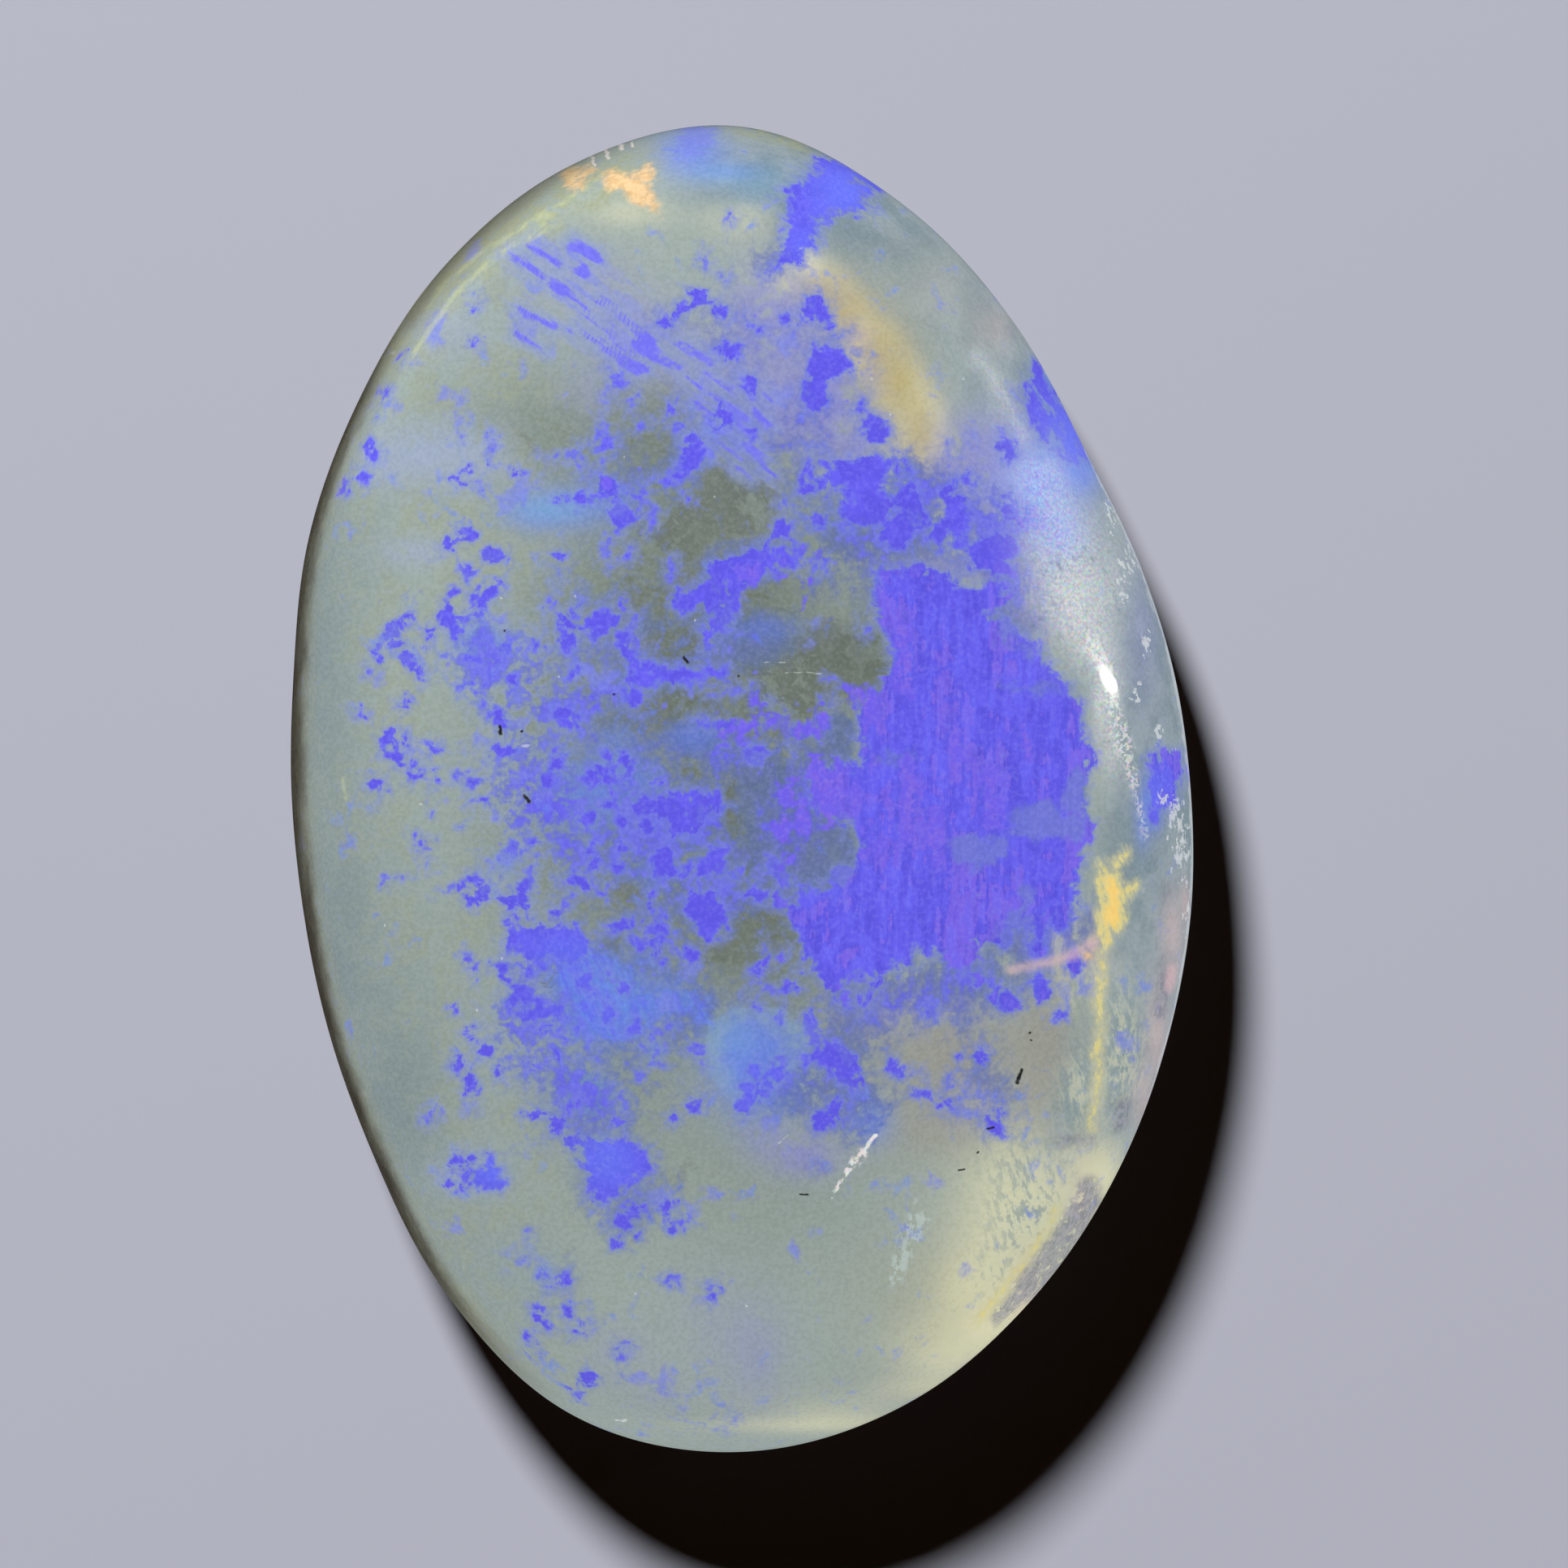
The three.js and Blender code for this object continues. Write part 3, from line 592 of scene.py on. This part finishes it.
def make_stone():
    stone = bpy.data.objects.new("opal_stone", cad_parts["opal"].data.copy())
    stone.data.name = "opal_stone"
    bpy.context.scene.collection.objects.link(stone)
    only(stone)
    bpy.ops.object.mode_set(mode="EDIT")
    bpy.ops.mesh.select_all(action="SELECT")
    bpy.ops.mesh.remove_doubles(threshold=SAME_CORNER)
    bpy.ops.mesh.tris_convert_to_quads(face_threshold=1.6, shape_threshold=3.14, topology_influence=2.0)
    bpy.ops.object.mode_set(mode="OBJECT")
    rounding = stone.modifiers.new("rounding", "SUBSURF")
    rounding.levels = rounding.render_levels = 2
    bpy.ops.object.modifier_apply(modifier=rounding.name)

    # The flat back's faces join up, and the crown, which carries the finest colour, is divided once more.
    pick_faces(stone, -1.1, -0.999)
    bpy.ops.mesh.dissolve_faces()
    bpy.ops.object.mode_set(mode="OBJECT")
    pick_faces(stone, 0.88, 1.1)
    bpy.ops.mesh.subdivide(number_cuts=1, smoothness=0)
    bpy.ops.mesh.select_all(action="DESELECT")
    bpy.ops.object.mode_set(mode="OBJECT")
    bpy.ops.object.shade_smooth_by_angle(angle=math.radians(50))
    return stone


def rim_distance(spots):
    """How far each spot is inside the stone's outline, in millimetres."""
    angle = np.arctan2(spots[:, 1], spots[:, 0])
    reach = np.hypot(*spots.T)
    sectors = ((angle + np.pi) / (2 * np.pi) * OUTLINE_SECTORS).astype(int) % OUTLINE_SECTORS
    outer = np.zeros(OUTLINE_SECTORS)
    np.maximum.at(outer, sectors, reach)
    middles = (np.arange(OUTLINE_SECTORS) + 0.5) / OUTLINE_SECTORS * 2 * np.pi - np.pi
    outline = np.interp(angle, middles, outer, period=2 * np.pi)
    return np.maximum(outline - reach, 0)


def turned_away(stone):
    """How much less of the key lamp's light each place gets than the level top does."""
    normals = np.zeros(len(stone.data.vertices) * 3)
    stone.data.vertices.foreach_get("normal", normals)
    towards = np.array(KEY_DIRECTION)
    return np.clip(1 - normals.reshape(-1, 3) @ towards / towards[2], 0, 1)


def paint_fields(stone):
    """Writes every field of colour as an attribute of the stone's points, which the material reads."""
    places = np.zeros(len(stone.data.vertices) * 3)
    stone.data.vertices.foreach_get("co", places)
    places = places.reshape(-1, 3) / MM
    spots = places[:, :2]
    x, y = spots.T
    rim = rim_distance(spots)
    left = step(-x, 0.8, 2.6)
    fields = {name: glow(spots, glows) for name, glows in GLOWS.items()}
    for name, (strokes, patches, limit) in EDGED.items():
        fields[name] = np.clip(np.maximum(along(spots, strokes), within(spots, patches)), -limit, limit)
    fields["pale_heart"] = 0.35 * glow(spots, PALE_HEART)
    fields["warm_and_glow"] = np.maximum(glow(spots, WARM_AND_GLOW_PLACES), step(along(spots, WARM_STROKES), -0.25, 0.08))
    fields["frost_and_sheen"] = np.maximum(0.9 * step(along(spots, FROST_AND_SHEEN_STROKES), -0.25, 0.12), glow(spots, FROST_AND_SHEEN_GLOWS))
    fields["mauve"] = step(along(spots, MAUVE_STROKES), -0.08, 0.04)
    fields["strip"] = step(along(spots, STRIP), -0.12, 0.06)
    # Painted light: how far each place turns from the key lamp, where the stone is made to glow more.
    fields["painted_glow"] = turned_away(stone)
    fields["rim"] = rim
    # The broad clear shoulder goes up the right side and over the top.
    fields["shoulder"] = np.maximum(
        step(x, 1.0, 3.0) * step(1.2 - rim, 0, 0.5) * step(y, -4.0, -3.0),
        step(y, 4.8, 5.7) * step(x, -0.9, 0.0) * step(0.95 - rim, 0, 0.25),
    )
    fields["left_side"] = left * step(y, -6.3, -5.0)
    # Where the left wall gets its painted shade.
    fields["left_rim_shade"] = left * step(y, -6.3, -4.2) * (1 - 0.65 * step(y, 3.4, 4.6))
    # Where the right rim gets its painted highlight.
    fields["right_rim_highlight"] = step(x, 1.5, 3.5) * step(y, -4.0, -2.0)
    # Where the violet's grain runs up and down the stone.
    fields["upright"] = step(x, 0.1, 0.7) * step(2.4 - y, 0, 0.6) * step(y, -2.4, -1.6)
    fields["under"] = step(1.5 - places[:, 2], 0, 0.5)
    for name, values in fields.items():
        layer = stone.data.attributes.new(name, "FLOAT", "POINT")
        layer.data.foreach_set("value", np.asarray(values, np.float32))


# ----- Materials


def shade(red, green, blue):
    """A colour as a screen shows it, from 0 to 255."""
    shares = (value / 255 for value in (red, green, blue))
    return (*(share / 12.92 if share <= 0.04 else ((share + 0.055) / 1.055) ** 2.4 for share in shares), 1.0)


class Recipe:
    """A material's nodes, written one after the other. A colour is a socket, or what shade() takes."""

    def __init__(self, tree):
        self.tree = tree

    def add(self, kind, inputs=(), **settings):
        node = self.tree.nodes.new(kind)
        for name, value in settings.items():
            setattr(node, name, value)
        for name, value in dict(inputs).items():
            self.feed(node.inputs[name], value)
        return node

    def feed(self, socket, value):
        if isinstance(value, bpy.types.NodeSocket):
            self.tree.links.new(value, socket)
        else:
            socket.default_value = value

    def calc(self, operation, first, second=0.0, clamp=False):
        return self.add("ShaderNodeMath", {0: first, 1: second}, operation=operation, use_clamp=clamp).outputs[0]

    def times(self, first, *others):
        for other in others:
            first = self.calc("MULTIPLY", first, other)
        return first

    def plus(self, first, *others):
        for other in others:
            first = self.calc("ADD", first, other)
        return first

    def rise(self, value, low, high, top=1.0):
        """0 below low, top above high, and smooth between."""
        inputs = {"Value": value, "From Min": low, "From Max": high, "To Max": top}
        return self.add("ShaderNodeMapRange", inputs, interpolation_type="SMOOTHSTEP").outputs["Result"]

    def over(self, amount, under, above):
        """One colour laid over another."""
        tones = [tone if isinstance(tone, bpy.types.NodeSocket) else shade(*tone) for tone in (under, above)]
        inputs = {"Factor": amount, MIX_UNDER: tones[0], MIX_ABOVE: tones[1]}
        return self.add("ShaderNodeMix", inputs, data_type="RGBA").outputs[MIX_RESULT]

    def field(self, name):
        return self.add("ShaderNodeAttribute", attribute_name=name).outputs["Fac"]

    def grain(self, place, size, detail=3.0, rough=0.55, bend=0.0):
        """Cloudy noise about its middle, from -1 to 1, with spots about the given size in millimetres."""
        inputs = {"Vector": place, "Scale": 0.5 / size, "Detail": detail, "Roughness": rough, "Distortion": bend}
        noise = self.add("ShaderNodeTexNoise", inputs)
        inputs = {"Value": noise.outputs["Fac"], "From Min": 0.25, "From Max": 0.75, "To Min": -1.0}
        return self.add("ShaderNodeMapRange", inputs, clamp=False).outputs["Result"]

    def stretched(self, place, turn, length):
        """Places drawn out this many times along a line turned from +X by so many degrees."""
        inputs = {"Vector": place, "Rotation": (0, 0, math.radians(turn)), "Scale": (length, 1, 1)}
        return self.add("ShaderNodeMapping", inputs, vector_type="TEXTURE").outputs["Vector"]


class Paint:
    """A colour that more colours are laid over, one after the other."""

    def __init__(self, recipe, colour):
        self.recipe, self.colour = recipe, colour

    def lay(self, amount, colour):
        self.colour = self.recipe.over(amount, self.colour, colour)

    def tint(self, field_name, share, colour):
        """Lays a colour on where a field says, with this share of its strength."""
        self.lay(self.recipe.times(self.recipe.field(field_name), share), colour)


def line_group():
    """A fine line between two points on the stone, seen from above, as a mask."""
    group = bpy.data.node_groups.new("fine line", "ShaderNodeTree")
    for name in ("Place", "Start", "End"):
        group.interface.new_socket(name, in_out="INPUT", socket_type="NodeSocketVector")
    group.interface.new_socket("Half width", in_out="INPUT", socket_type="NodeSocketFloat")
    group.interface.new_socket("Mask", in_out="OUTPUT", socket_type="NodeSocketFloat")
    recipe = Recipe(group)
    given = recipe.add("NodeGroupInput").outputs
    result = recipe.add("NodeGroupOutput")

    def vector(operation, *places, **factors):
        inputs = {**dict(enumerate(places)), **factors}
        outputs = recipe.add("ShaderNodeVectorMath", inputs, operation=operation).outputs
        return outputs["Value" if operation in ("DOT_PRODUCT", "LENGTH") else "Vector"]

    flat = vector("MULTIPLY", given["Place"], (1, 1, 0))
    from_start = vector("SUBTRACT", flat, given["Start"])
    run = vector("SUBTRACT", given["End"], given["Start"])
    # A spot is a line of no length, so a little is added before the division.
    squared_length = recipe.calc("ADD", vector("DOT_PRODUCT", run, run), 1e-6)
    share = recipe.calc("DIVIDE", vector("DOT_PRODUCT", from_start, run), squared_length, clamp=True)
    gap = vector("LENGTH", vector("SUBTRACT", from_start, vector("SCALE", run, Scale=share)))
    core = recipe.calc("MULTIPLY", given["Half width"], 0.35)
    recipe.feed(result.inputs["Mask"], recipe.rise(gap, given["Half width"], core))
    return group


def lines(recipe, group, place, strokes):
    """All of these fine lines as one mask."""
    mask = None
    for half_width, paths in strokes.items():
        for start, end in legs(*paths):
            inputs = {"Place": place, "Start": (*start, 0), "End": (*end, 0), "Half width": half_width}
            line = recipe.add("ShaderNodeGroup", inputs, node_tree=group)
            mask = line.outputs["Mask"] if mask is None else recipe.calc("MAXIMUM", mask, line.outputs["Mask"])
    return mask


def opal_material():
    material = bpy.data.materials.new("precious opal")
    material.use_nodes = True
    material.node_tree.nodes.clear()
    recipe = Recipe(material.node_tree)
    calc, rise, over, field, grain = recipe.calc, recipe.rise, recipe.over, recipe.field, recipe.grain
    times, plus = recipe.times, recipe.plus

    place = recipe.add("ShaderNodeTexCoord").outputs["Object"]
    place = recipe.add("ShaderNodeVectorMath", {0: place, "Scale": 1 / MM}, operation="SCALE").outputs["Vector"]
    coarse = grain(place, 0.3, 4, 0.6)
    medium = grain(place, 0.11, 4, 0.62, 0.6)
    fine = grain(place, 0.04, 3, 0.6)
    upright = recipe.stretched(place, -90, 6)
    strands = grain(upright, 0.04, 3, 0.65)
    broad_strands = grain(upright, 0.12, 4, 0.65)
    slanting = recipe.stretched(place, -38, 9)
    slanted = grain(slanting, 0.035, 3, 0.6)
    broad_slanted = grain(slanting, 0.09, 3, 0.6)
    steep = recipe.stretched(place, -68, 6)
    hatched = grain(steep, 0.03, 3, 0.65)

    # Body
    opal = Paint(recipe, (152, 165, 160))
    opal.tint("grey_blue", 0.9, (117, 132, 137))
    opal.tint("dark_body", 0.9, (98, 108, 97))
    greener = times(field("left_side"), calc("SUBTRACT", 1.0, field("grey_blue")))
    opal.lay(times(rise(plus(coarse, medium), -0.35, 0.3, 0.5), greener), (146, 155, 128))
    gap = rise(times(field("olive"), plus(1.0, times(medium, 1.5), times(coarse, 1.3))), 0.22, 0.72)
    opal.lay(times(gap, 0.75), (96, 105, 96))
    # Warm tone, which at the lower right is partly a painted glow of light through the stone.
    opal.tint("warm_and_glow", 0.95, (230, 226, 184))
    opal.tint("tan", 0.85, (150, 145, 134))
    opal.tint("orange", 0.85, (182, 168, 108))
    opal.lay(rise(plus(field("slate"), times(medium, 0.2)), 0.1, 0.5, 0.9), (92, 110, 150))
    opal.lay(rise(plus(coarse, times(medium, 0.5)), -0.4, 0.4, 0.1), (165, 172, 162))
    glass = over(rise(coarse, -0.4, 0.4), (120, 138, 150), (146, 160, 168))
    opal.tint("shoulder", 0.75, glass)
    opal.lay(times(field("strip"), rise(medium, -0.6, 0.3, 0.75)), (158, 164, 132))

    # Veils: where flakes lie close the colour thickens from slate through blue to violet.
    density = field("haze")
    loose = plus(times(medium, 0.9), times(coarse, 0.9))
    stands = plus(times(broad_strands, 1.2), times(coarse, 0.5))
    mix = field("upright")
    shape = plus(times(stands, mix), times(loose, calc("SUBTRACT", 1.0, mix)), times(fine, 0.5))
    thick = plus(times(density, plus(1.0, shape)), rise(field("violet"), -0.3, 0.04, 0.2), times(gap, -0.6))
    veil_colour = over(field("left_side"), (102, 116, 164), (142, 156, 172))
    opal.lay(rise(plus(thick, times(shape, 0.12)), 0.05, 0.65, 0.88), veil_colour)
    mist = times(field("mist"), rise(plus(medium, coarse), -1.5, -0.2, 0.95))
    opal.lay(mist, over(field("left_side"), (138, 139, 200), (152, 165, 190)))
    opal.tint("blue", 0.8, (90, 126, 238))
    opal.tint("cyan", 0.8, (118, 164, 198))
    opal.tint("frost_blue", 0.8, (148, 168, 242))
    opal.lay(rise(thick, 0.55, 0.8, 0.55), (102, 112, 190))
    opal.lay(rise(thick, 0.76, 0.95, 0.7), (102, 106, 218))
    opal.lay(rise(thick, 0.95, 1.1, 0.8), (104, 98, 232))
    threads = rise(plus(strands, times(broad_strands, 0.5)), 0.12, 0.32, 0.7)
    opal.lay(times(threads, times(mix, rise(density, 0.3, 0.7))), (102, 104, 218))
    cells = recipe.add("ShaderNodeTexVoronoi", {"Vector": place, "Scale": 8.0}).outputs
    chance = times(recipe.add("ShaderNodeSeparateColor", {"Color": cells["Color"]}).outputs["Red"], -0.3)
    size = plus(times(density, 0.3), rise(field("violet"), -0.35, 0, 0.18), chance, times(medium, 0.08), -0.03)
    opal.lay(rise(calc("SUBTRACT", size, cells["Distance"]), -0.02, 0.07, 0.6), (112, 112, 224))
    opal.tint("pink", 0.6, (210, 184, 182))

    # Hatched veil at the lower right
    hatch = field("hatch")
    crossed = plus(hatched, times(medium, 0.4))
    opal.lay(times(hatch, 0.5), (172, 186, 172))
    opal.lay(times(rise(crossed, 0.04, 0.3), hatch, 0.65), (120, 138, 148))
    opal.lay(times(rise(crossed, -0.04, -0.3), hatch, 0.5), (212, 208, 174))
    mauve = times(field("mauve"), rise(plus(fine, medium), -1.0, -0.2, 0.75))
    opal.lay(mauve, over(rise(plus(hatched, fine), -0.4, 0.4), (112, 118, 134), (152, 150, 162)))

    # The fan and the bright blue flake, streaked
    fan = plus(field("cyan_patch"), times(fine, 0.03), times(medium, 0.05))
    fan_depth = rise(plus(field("cyan_patch"), times(coarse, 0.2)), 0.02, 0.3)
    opal.lay(rise(fan, -0.03, 0.05, 0.5), over(fan_depth, (132, 162, 196), (106, 130, 224)))
    bright = plus(field("blue_patch"), times(hatched, 0.08), times(medium, 0.35), times(coarse, 0.35))
    bright_colour = over(rise(plus(hatched, times(fine, 0.5)), -0.3, 0.3), (98, 114, 240), (102, 138, 230))
    opal.lay(rise(bright, -0.25, 0.15, 0.6), bright_colour)

    # Flakes: the placed shapes, ragged at their edges and paler where they are thin
    ragged = plus(times(medium, 0.13), times(fine, 0.05), times(coarse, 0.08))
    holes = plus(times(gap, -0.06), times(field("left_side"), -0.034))
    opal.lay(rise(plus(field("lilac"), ragged, holes), -0.08, 0.07, 0.7), (122, 132, 218))
    streaks = plus(field("streaks"), times(slanted, 0.04), times(broad_slanted, 0.03))
    opal.lay(rise(streaks, -0.16, 0.02, 0.6), (132, 146, 206))
    opal.lay(times(rise(slanted, 0.06, 0.35), times(field("slant_area"), 0.65)), (124, 134, 216))
    opal.lay(rise(streaks, -0.02, 0.02, 0.85), (110, 106, 234))
    violet = plus(field("violet"), ragged, holes)
    opal.lay(rise(violet, -0.14, 0.0, 0.5), (122, 136, 208))
    opal.lay(rise(violet, -0.035, 0.02, 0.85), (106, 110, 224))
    grown = plus(broad_strands, times(strands, 0.35), times(medium, 0.5), times(coarse, 0.7), field("pale_heart"))
    deep = Paint(recipe, (103, 96, 236))
    deep.lay(rise(plus(medium, times(coarse, 0.6)), -0.3, 0.3), (95, 87, 225))
    deep.lay(times(rise(grown, 0.24, 0.3, 0.9), mix), (124, 101, 227))
    deep.tint("bluish", 0.7, (106, 126, 246))
    contour = rise(calc("ABSOLUTE", plus(grown, -0.26)), 0.035, 0.0, 0.6)
    deep.lay(times(contour, mix), (80, 70, 200))
    deep.lay(times(rise(strands, 0.1, 0.35, 0.4), mix), (112, 112, 248))
    deep.lay(times(rise(strands, -0.1, -0.35, 0.35), mix), (82, 76, 208))
    milky = plus(field("slate"), times(medium, 0.4), times(coarse, 0.4), times(stands, 0.1))
    deep.lay(rise(milky, 0.28, 0.7, 0.85), over(rise(coarse, -0.3, 0.3), (106, 116, 202), (112, 122, 208)))
    opal.lay(rise(plus(violet, times(coarse, 0.05)), 0.0, 0.05, 0.94), deep.colour)
    opal.lay(rise(plus(field("purple"), ragged), -0.06, -0.01, 0.5), (98, 92, 220))
    purple = rise(plus(field("purple"), times(strands, 0.06), ragged), -0.01, 0.015, 0.85)
    opal.lay(purple, over(rise(plus(fine, medium), -0.3, 0.3), (128, 104, 224), (114, 98, 232)))

    # Frost: fine grains of every colour, under a painted pale sheen
    frost_and_sheen = times(field("frost_and_sheen"), rise(plus(fine, medium, times(coarse, 0.6)), -1.7, -0.3))
    inputs = {"Vector": place, "Scale": 30.0, "Detail": 3.0, "Roughness": 0.65}
    grains = recipe.add("ShaderNodeTexNoise", inputs).outputs["Color"]
    inputs = {"Color": grains, "Bright": 0.08, "Contrast": 1.2}
    sparkle = recipe.add("ShaderNodeBrightContrast", inputs).outputs["Color"]
    glitter = grain(place, 0.018, 2, 0.6)
    pearl_sheen = Paint(recipe, over(field("frost_blue"), (192, 203, 210), (116, 146, 250)))
    pearl_sheen.lay(0.45, sparkle)
    pearl_sheen.lay(rise(glitter, 0.05, 0.4, 0.5), over(field("frost_blue"), (232, 234, 230), (176, 210, 250)))
    opal.lay(times(frost_and_sheen, 0.92), pearl_sheen.colour)
    gold = plus(field("gold"), times(hatched, 0.05), times(medium, 0.04), times(fine, 0.02))
    opal.lay(rise(gold, -0.08, 0.03, 0.6), (208, 202, 150))
    opal.lay(rise(gold, 0.0, 0.04, 0.75), (222, 210, 138))
    opal.lay(rise(gold, 0.04, 0.1, 0.8), (250, 210, 116))
    peach = rise(plus(field("peach"), times(medium, 0.06), times(fine, 0.02)), -0.08, 0.02, 0.85)
    opal.lay(peach, over(rise(fine, -0.3, 0.3), (226, 184, 128), (238, 202, 150)))
    opal.lay(rise(plus(field("pink_line"), times(medium, 0.03)), -0.07, 0.03, 0.7), (208, 180, 184))

    # Fine lines and specks, wavering a little
    group = line_group()
    wobble = recipe.add("ShaderNodeCombineXYZ", {"X": times(medium, 0.03), "Y": times(coarse, 0.03)})
    inputs = {0: place, 1: wobble.outputs["Vector"]}
    near_place = recipe.add("ShaderNodeVectorMath", inputs, operation="ADD").outputs["Vector"]

    def drawn(strokes):
        return lines(recipe, group, near_place, strokes)

    # Painted highlights: thin pale lines along the edges at the upper left.
    edge_highlight = rise(plus(field("edge_highlight"), times(medium, 0.02)), -0.02, 0.02)
    opal.lay(times(edge_highlight, rise(plus(coarse, medium), -0.8, 0.4, 0.55)), (188, 196, 152))
    opal.lay(times(drawn(TICKS), rise(field("under"), 0.1, 0.0, 0.8)), (228, 220, 215))
    faint_scar = times(rise(field("faint_scar"), -0.03, 0.06), rise(plus(strands, fine), 0.0, 0.3, 0.5))
    opal.lay(faint_scar, (190, 206, 204))
    # Painted highlight: the glint's glittering streak on the right shoulder.
    glint_streak = times(rise(field("glint_streak"), -0.03, 0.05), rise(plus(glitter, times(fine, 0.6)), -0.12, 0.15, 0.8))
    opal.lay(glint_streak, over(0.5, (228, 232, 228), sparkle))
    opal.lay(times(drawn(SCRATCHES), times(rise(fine, -0.6, 0.3), 0.6)), (205, 210, 205))
    opal.lay(times(drawn(SCAR), rise(plus(fine, medium), -0.45, 0.0)), over(0.4, (238, 234, 230), sparkle))
    opal.lay(times(drawn(WHITE_DOTS), 0.6), (205, 208, 215))
    opal.lay(drawn(SPECKS), (35, 35, 35))
    crumbs = rise(plus(field("crumbly"), times(fine, 1.2), times(medium, 0.9)), 0.78, 0.98, 0.7)
    crumb_colour = over(rise(fine, -0.2, 0.3), (176, 184, 184), (214, 219, 220))
    opal.lay(times(crumbs, rise(field("crumbly"), 0.08, 0.25)), crumb_colour)

    # Rim: an olive band inside the left edge; painted shade, a dark brown band down the left wall; and a painted
    # highlight, a pale line along the right rim
    rim = field("rim")
    opal.lay(times(rise(rim, 0.34, 0.06), times(field("left_side"), 0.45)), (150, 150, 118))
    # Painted shade: the dark brown band down the left wall.
    left_wall_shade = rise(plus(rim, times(coarse, 0.03), times(medium, 0.015)), 0.22, 0.04)
    left_wall_shade = times(left_wall_shade, field("left_rim_shade"))
    opal.lay(times(left_wall_shade, 0.82), over(rise(coarse, -0.4, 0.4), (96, 89, 72), (116, 111, 92)))
    # Painted highlight: the pale line along the right rim.
    rim_highlight = times(rise(plus(rim, times(medium, 0.02)), 0.04, 0.015), rise(field("under"), 0.35, 0.0))
    opal.lay(times(rim_highlight, times(field("right_rim_highlight"), 0.5)), (215, 220, 225))

    # Below the girdle and on the back there is plain potch with soft colour in it.
    potch = Paint(recipe, (128, 139, 138))
    potch.lay(rise(grain(place, 0.9, 4, 0.6), -0.3, 0.3), (158, 166, 160))
    potch.lay(rise(plus(grain(place, 0.5, 4, 0.65), times(medium, 0.3)), 0.05, 0.4, 0.55), (116, 120, 196))
    below = rise(plus(field("under"), times(medium, 0.4), times(coarse, 0.5)), 0.0, 0.8)
    opal.lay(times(below, rise(field("under"), 0.0, 0.15)), potch.colour)

    # Every colour carries a little of the grain.
    dust = grain(place, 0.022, 2, 0.6)
    opal.lay(rise(dust, 0.0, 0.5, 0.05), (205, 210, 225))
    opal.lay(rise(dust, 0.0, -0.5, 0.07), (50, 52, 70))

    # Painted light: the stone gives off its own colour as a glow, a little everywhere and more where it turns from
    # the key lamp, so that it looks lit through; on the left wall the glow is cut, a painted shade.
    unlit = rise(plus(field("under"), times(medium, 0.3), times(coarse, 0.3)), 0.9, 0.3, -0.65)
    strength = calc("MAXIMUM", plus(times(field("painted_glow"), 0.5), 0.38, times(left_wall_shade, unlit)), 0.1)
    painted_glow_colour = recipe.add("ShaderNodeVectorMath", {0: opal.colour, "Scale": strength}, operation="SCALE")
    bsdf = recipe.add("ShaderNodeBsdfPrincipled", {
        "Base Color": opal.colour,
        "Roughness": plus(times(frost_and_sheen, 0.03), 0.07, times(rise(fine, 0.0, 0.5), 0.03)),
        "IOR": 1.45,
        "Subsurface Weight": 0.35,
        "Subsurface Radius": (1.0, 1.0, 1.0),
        "Subsurface Scale": 0.6 * MM,
        "Emission Color": painted_glow_colour.outputs["Vector"],
        "Emission Strength": 1.0,
    })
    recipe.add("ShaderNodeOutputMaterial", {"Surface": bsdf.outputs["BSDF"]})
    return material


def floor_material():
    material = bpy.data.materials.new("pale floor")
    material.use_nodes = True
    inputs = material.node_tree.nodes["Principled BSDF"].inputs
    inputs["Base Color"].default_value = shade(208, 210, 225)
    inputs["Roughness"].default_value = 0.6
    inputs["Specular IOR Level"].default_value = 0.2
    return material


stone = make_stone()
paint_fields(stone)
stone.data.materials.clear()
stone.data.materials.append(opal_material())
stone.visible_diffuse = False
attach(stone, "root")
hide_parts("opal")

# ----- Floor and light

bpy.ops.object.select_all(action="DESELECT")
bpy.ops.mesh.primitive_plane_add(size=FLOOR_SIZE, location=(0, 0, 0))
floor = bpy.context.object
floor.name = "floor"
floor.data.materials.append(floor_material())
floor.visible_glossy = False


def lamp(name, towards, size, power, colour=(1, 1, 1)):
    """A round lamp in the given direction from the stone, facing it."""
    data = bpy.data.lights.new(name, "AREA")
    data.shape = "DISK"
    data.size = size
    data.energy = power
    data.color = colour
    holder = bpy.data.objects.new(name, data)
    length = math.sqrt(sum(part * part for part in towards))
    holder.location = [part / length * LAMP_DISTANCE for part in towards]
    holder.rotation_mode = "QUATERNION"
    holder.rotation_quaternion = holder.location.to_track_quat("Z", "Y")
    bpy.context.scene.collection.objects.link(holder)
    return holder


# The key lamp throws the one soft shadow. The other only shows in the polish, as a glint on the
# right shoulder.
key = lamp("key", KEY_DIRECTION, size=0.052, power=0.83)
key.visible_glossy = False
glint = lamp("glint", GLINT_DIRECTION, size=0.004, power=0.16, colour=(1.0, 0.93, 0.78))
glint.data.shape = "ELLIPSE"
glint.data.size_y = 0.075
glint.visible_diffuse = False

world = bpy.data.worlds.new("room")
bpy.context.scene.world = world
world.use_nodes = True
background = world.node_tree.nodes["Background"].inputs
background["Color"].default_value = (1.0, 0.36, 0.05, 1)
background["Strength"].default_value = 0.005
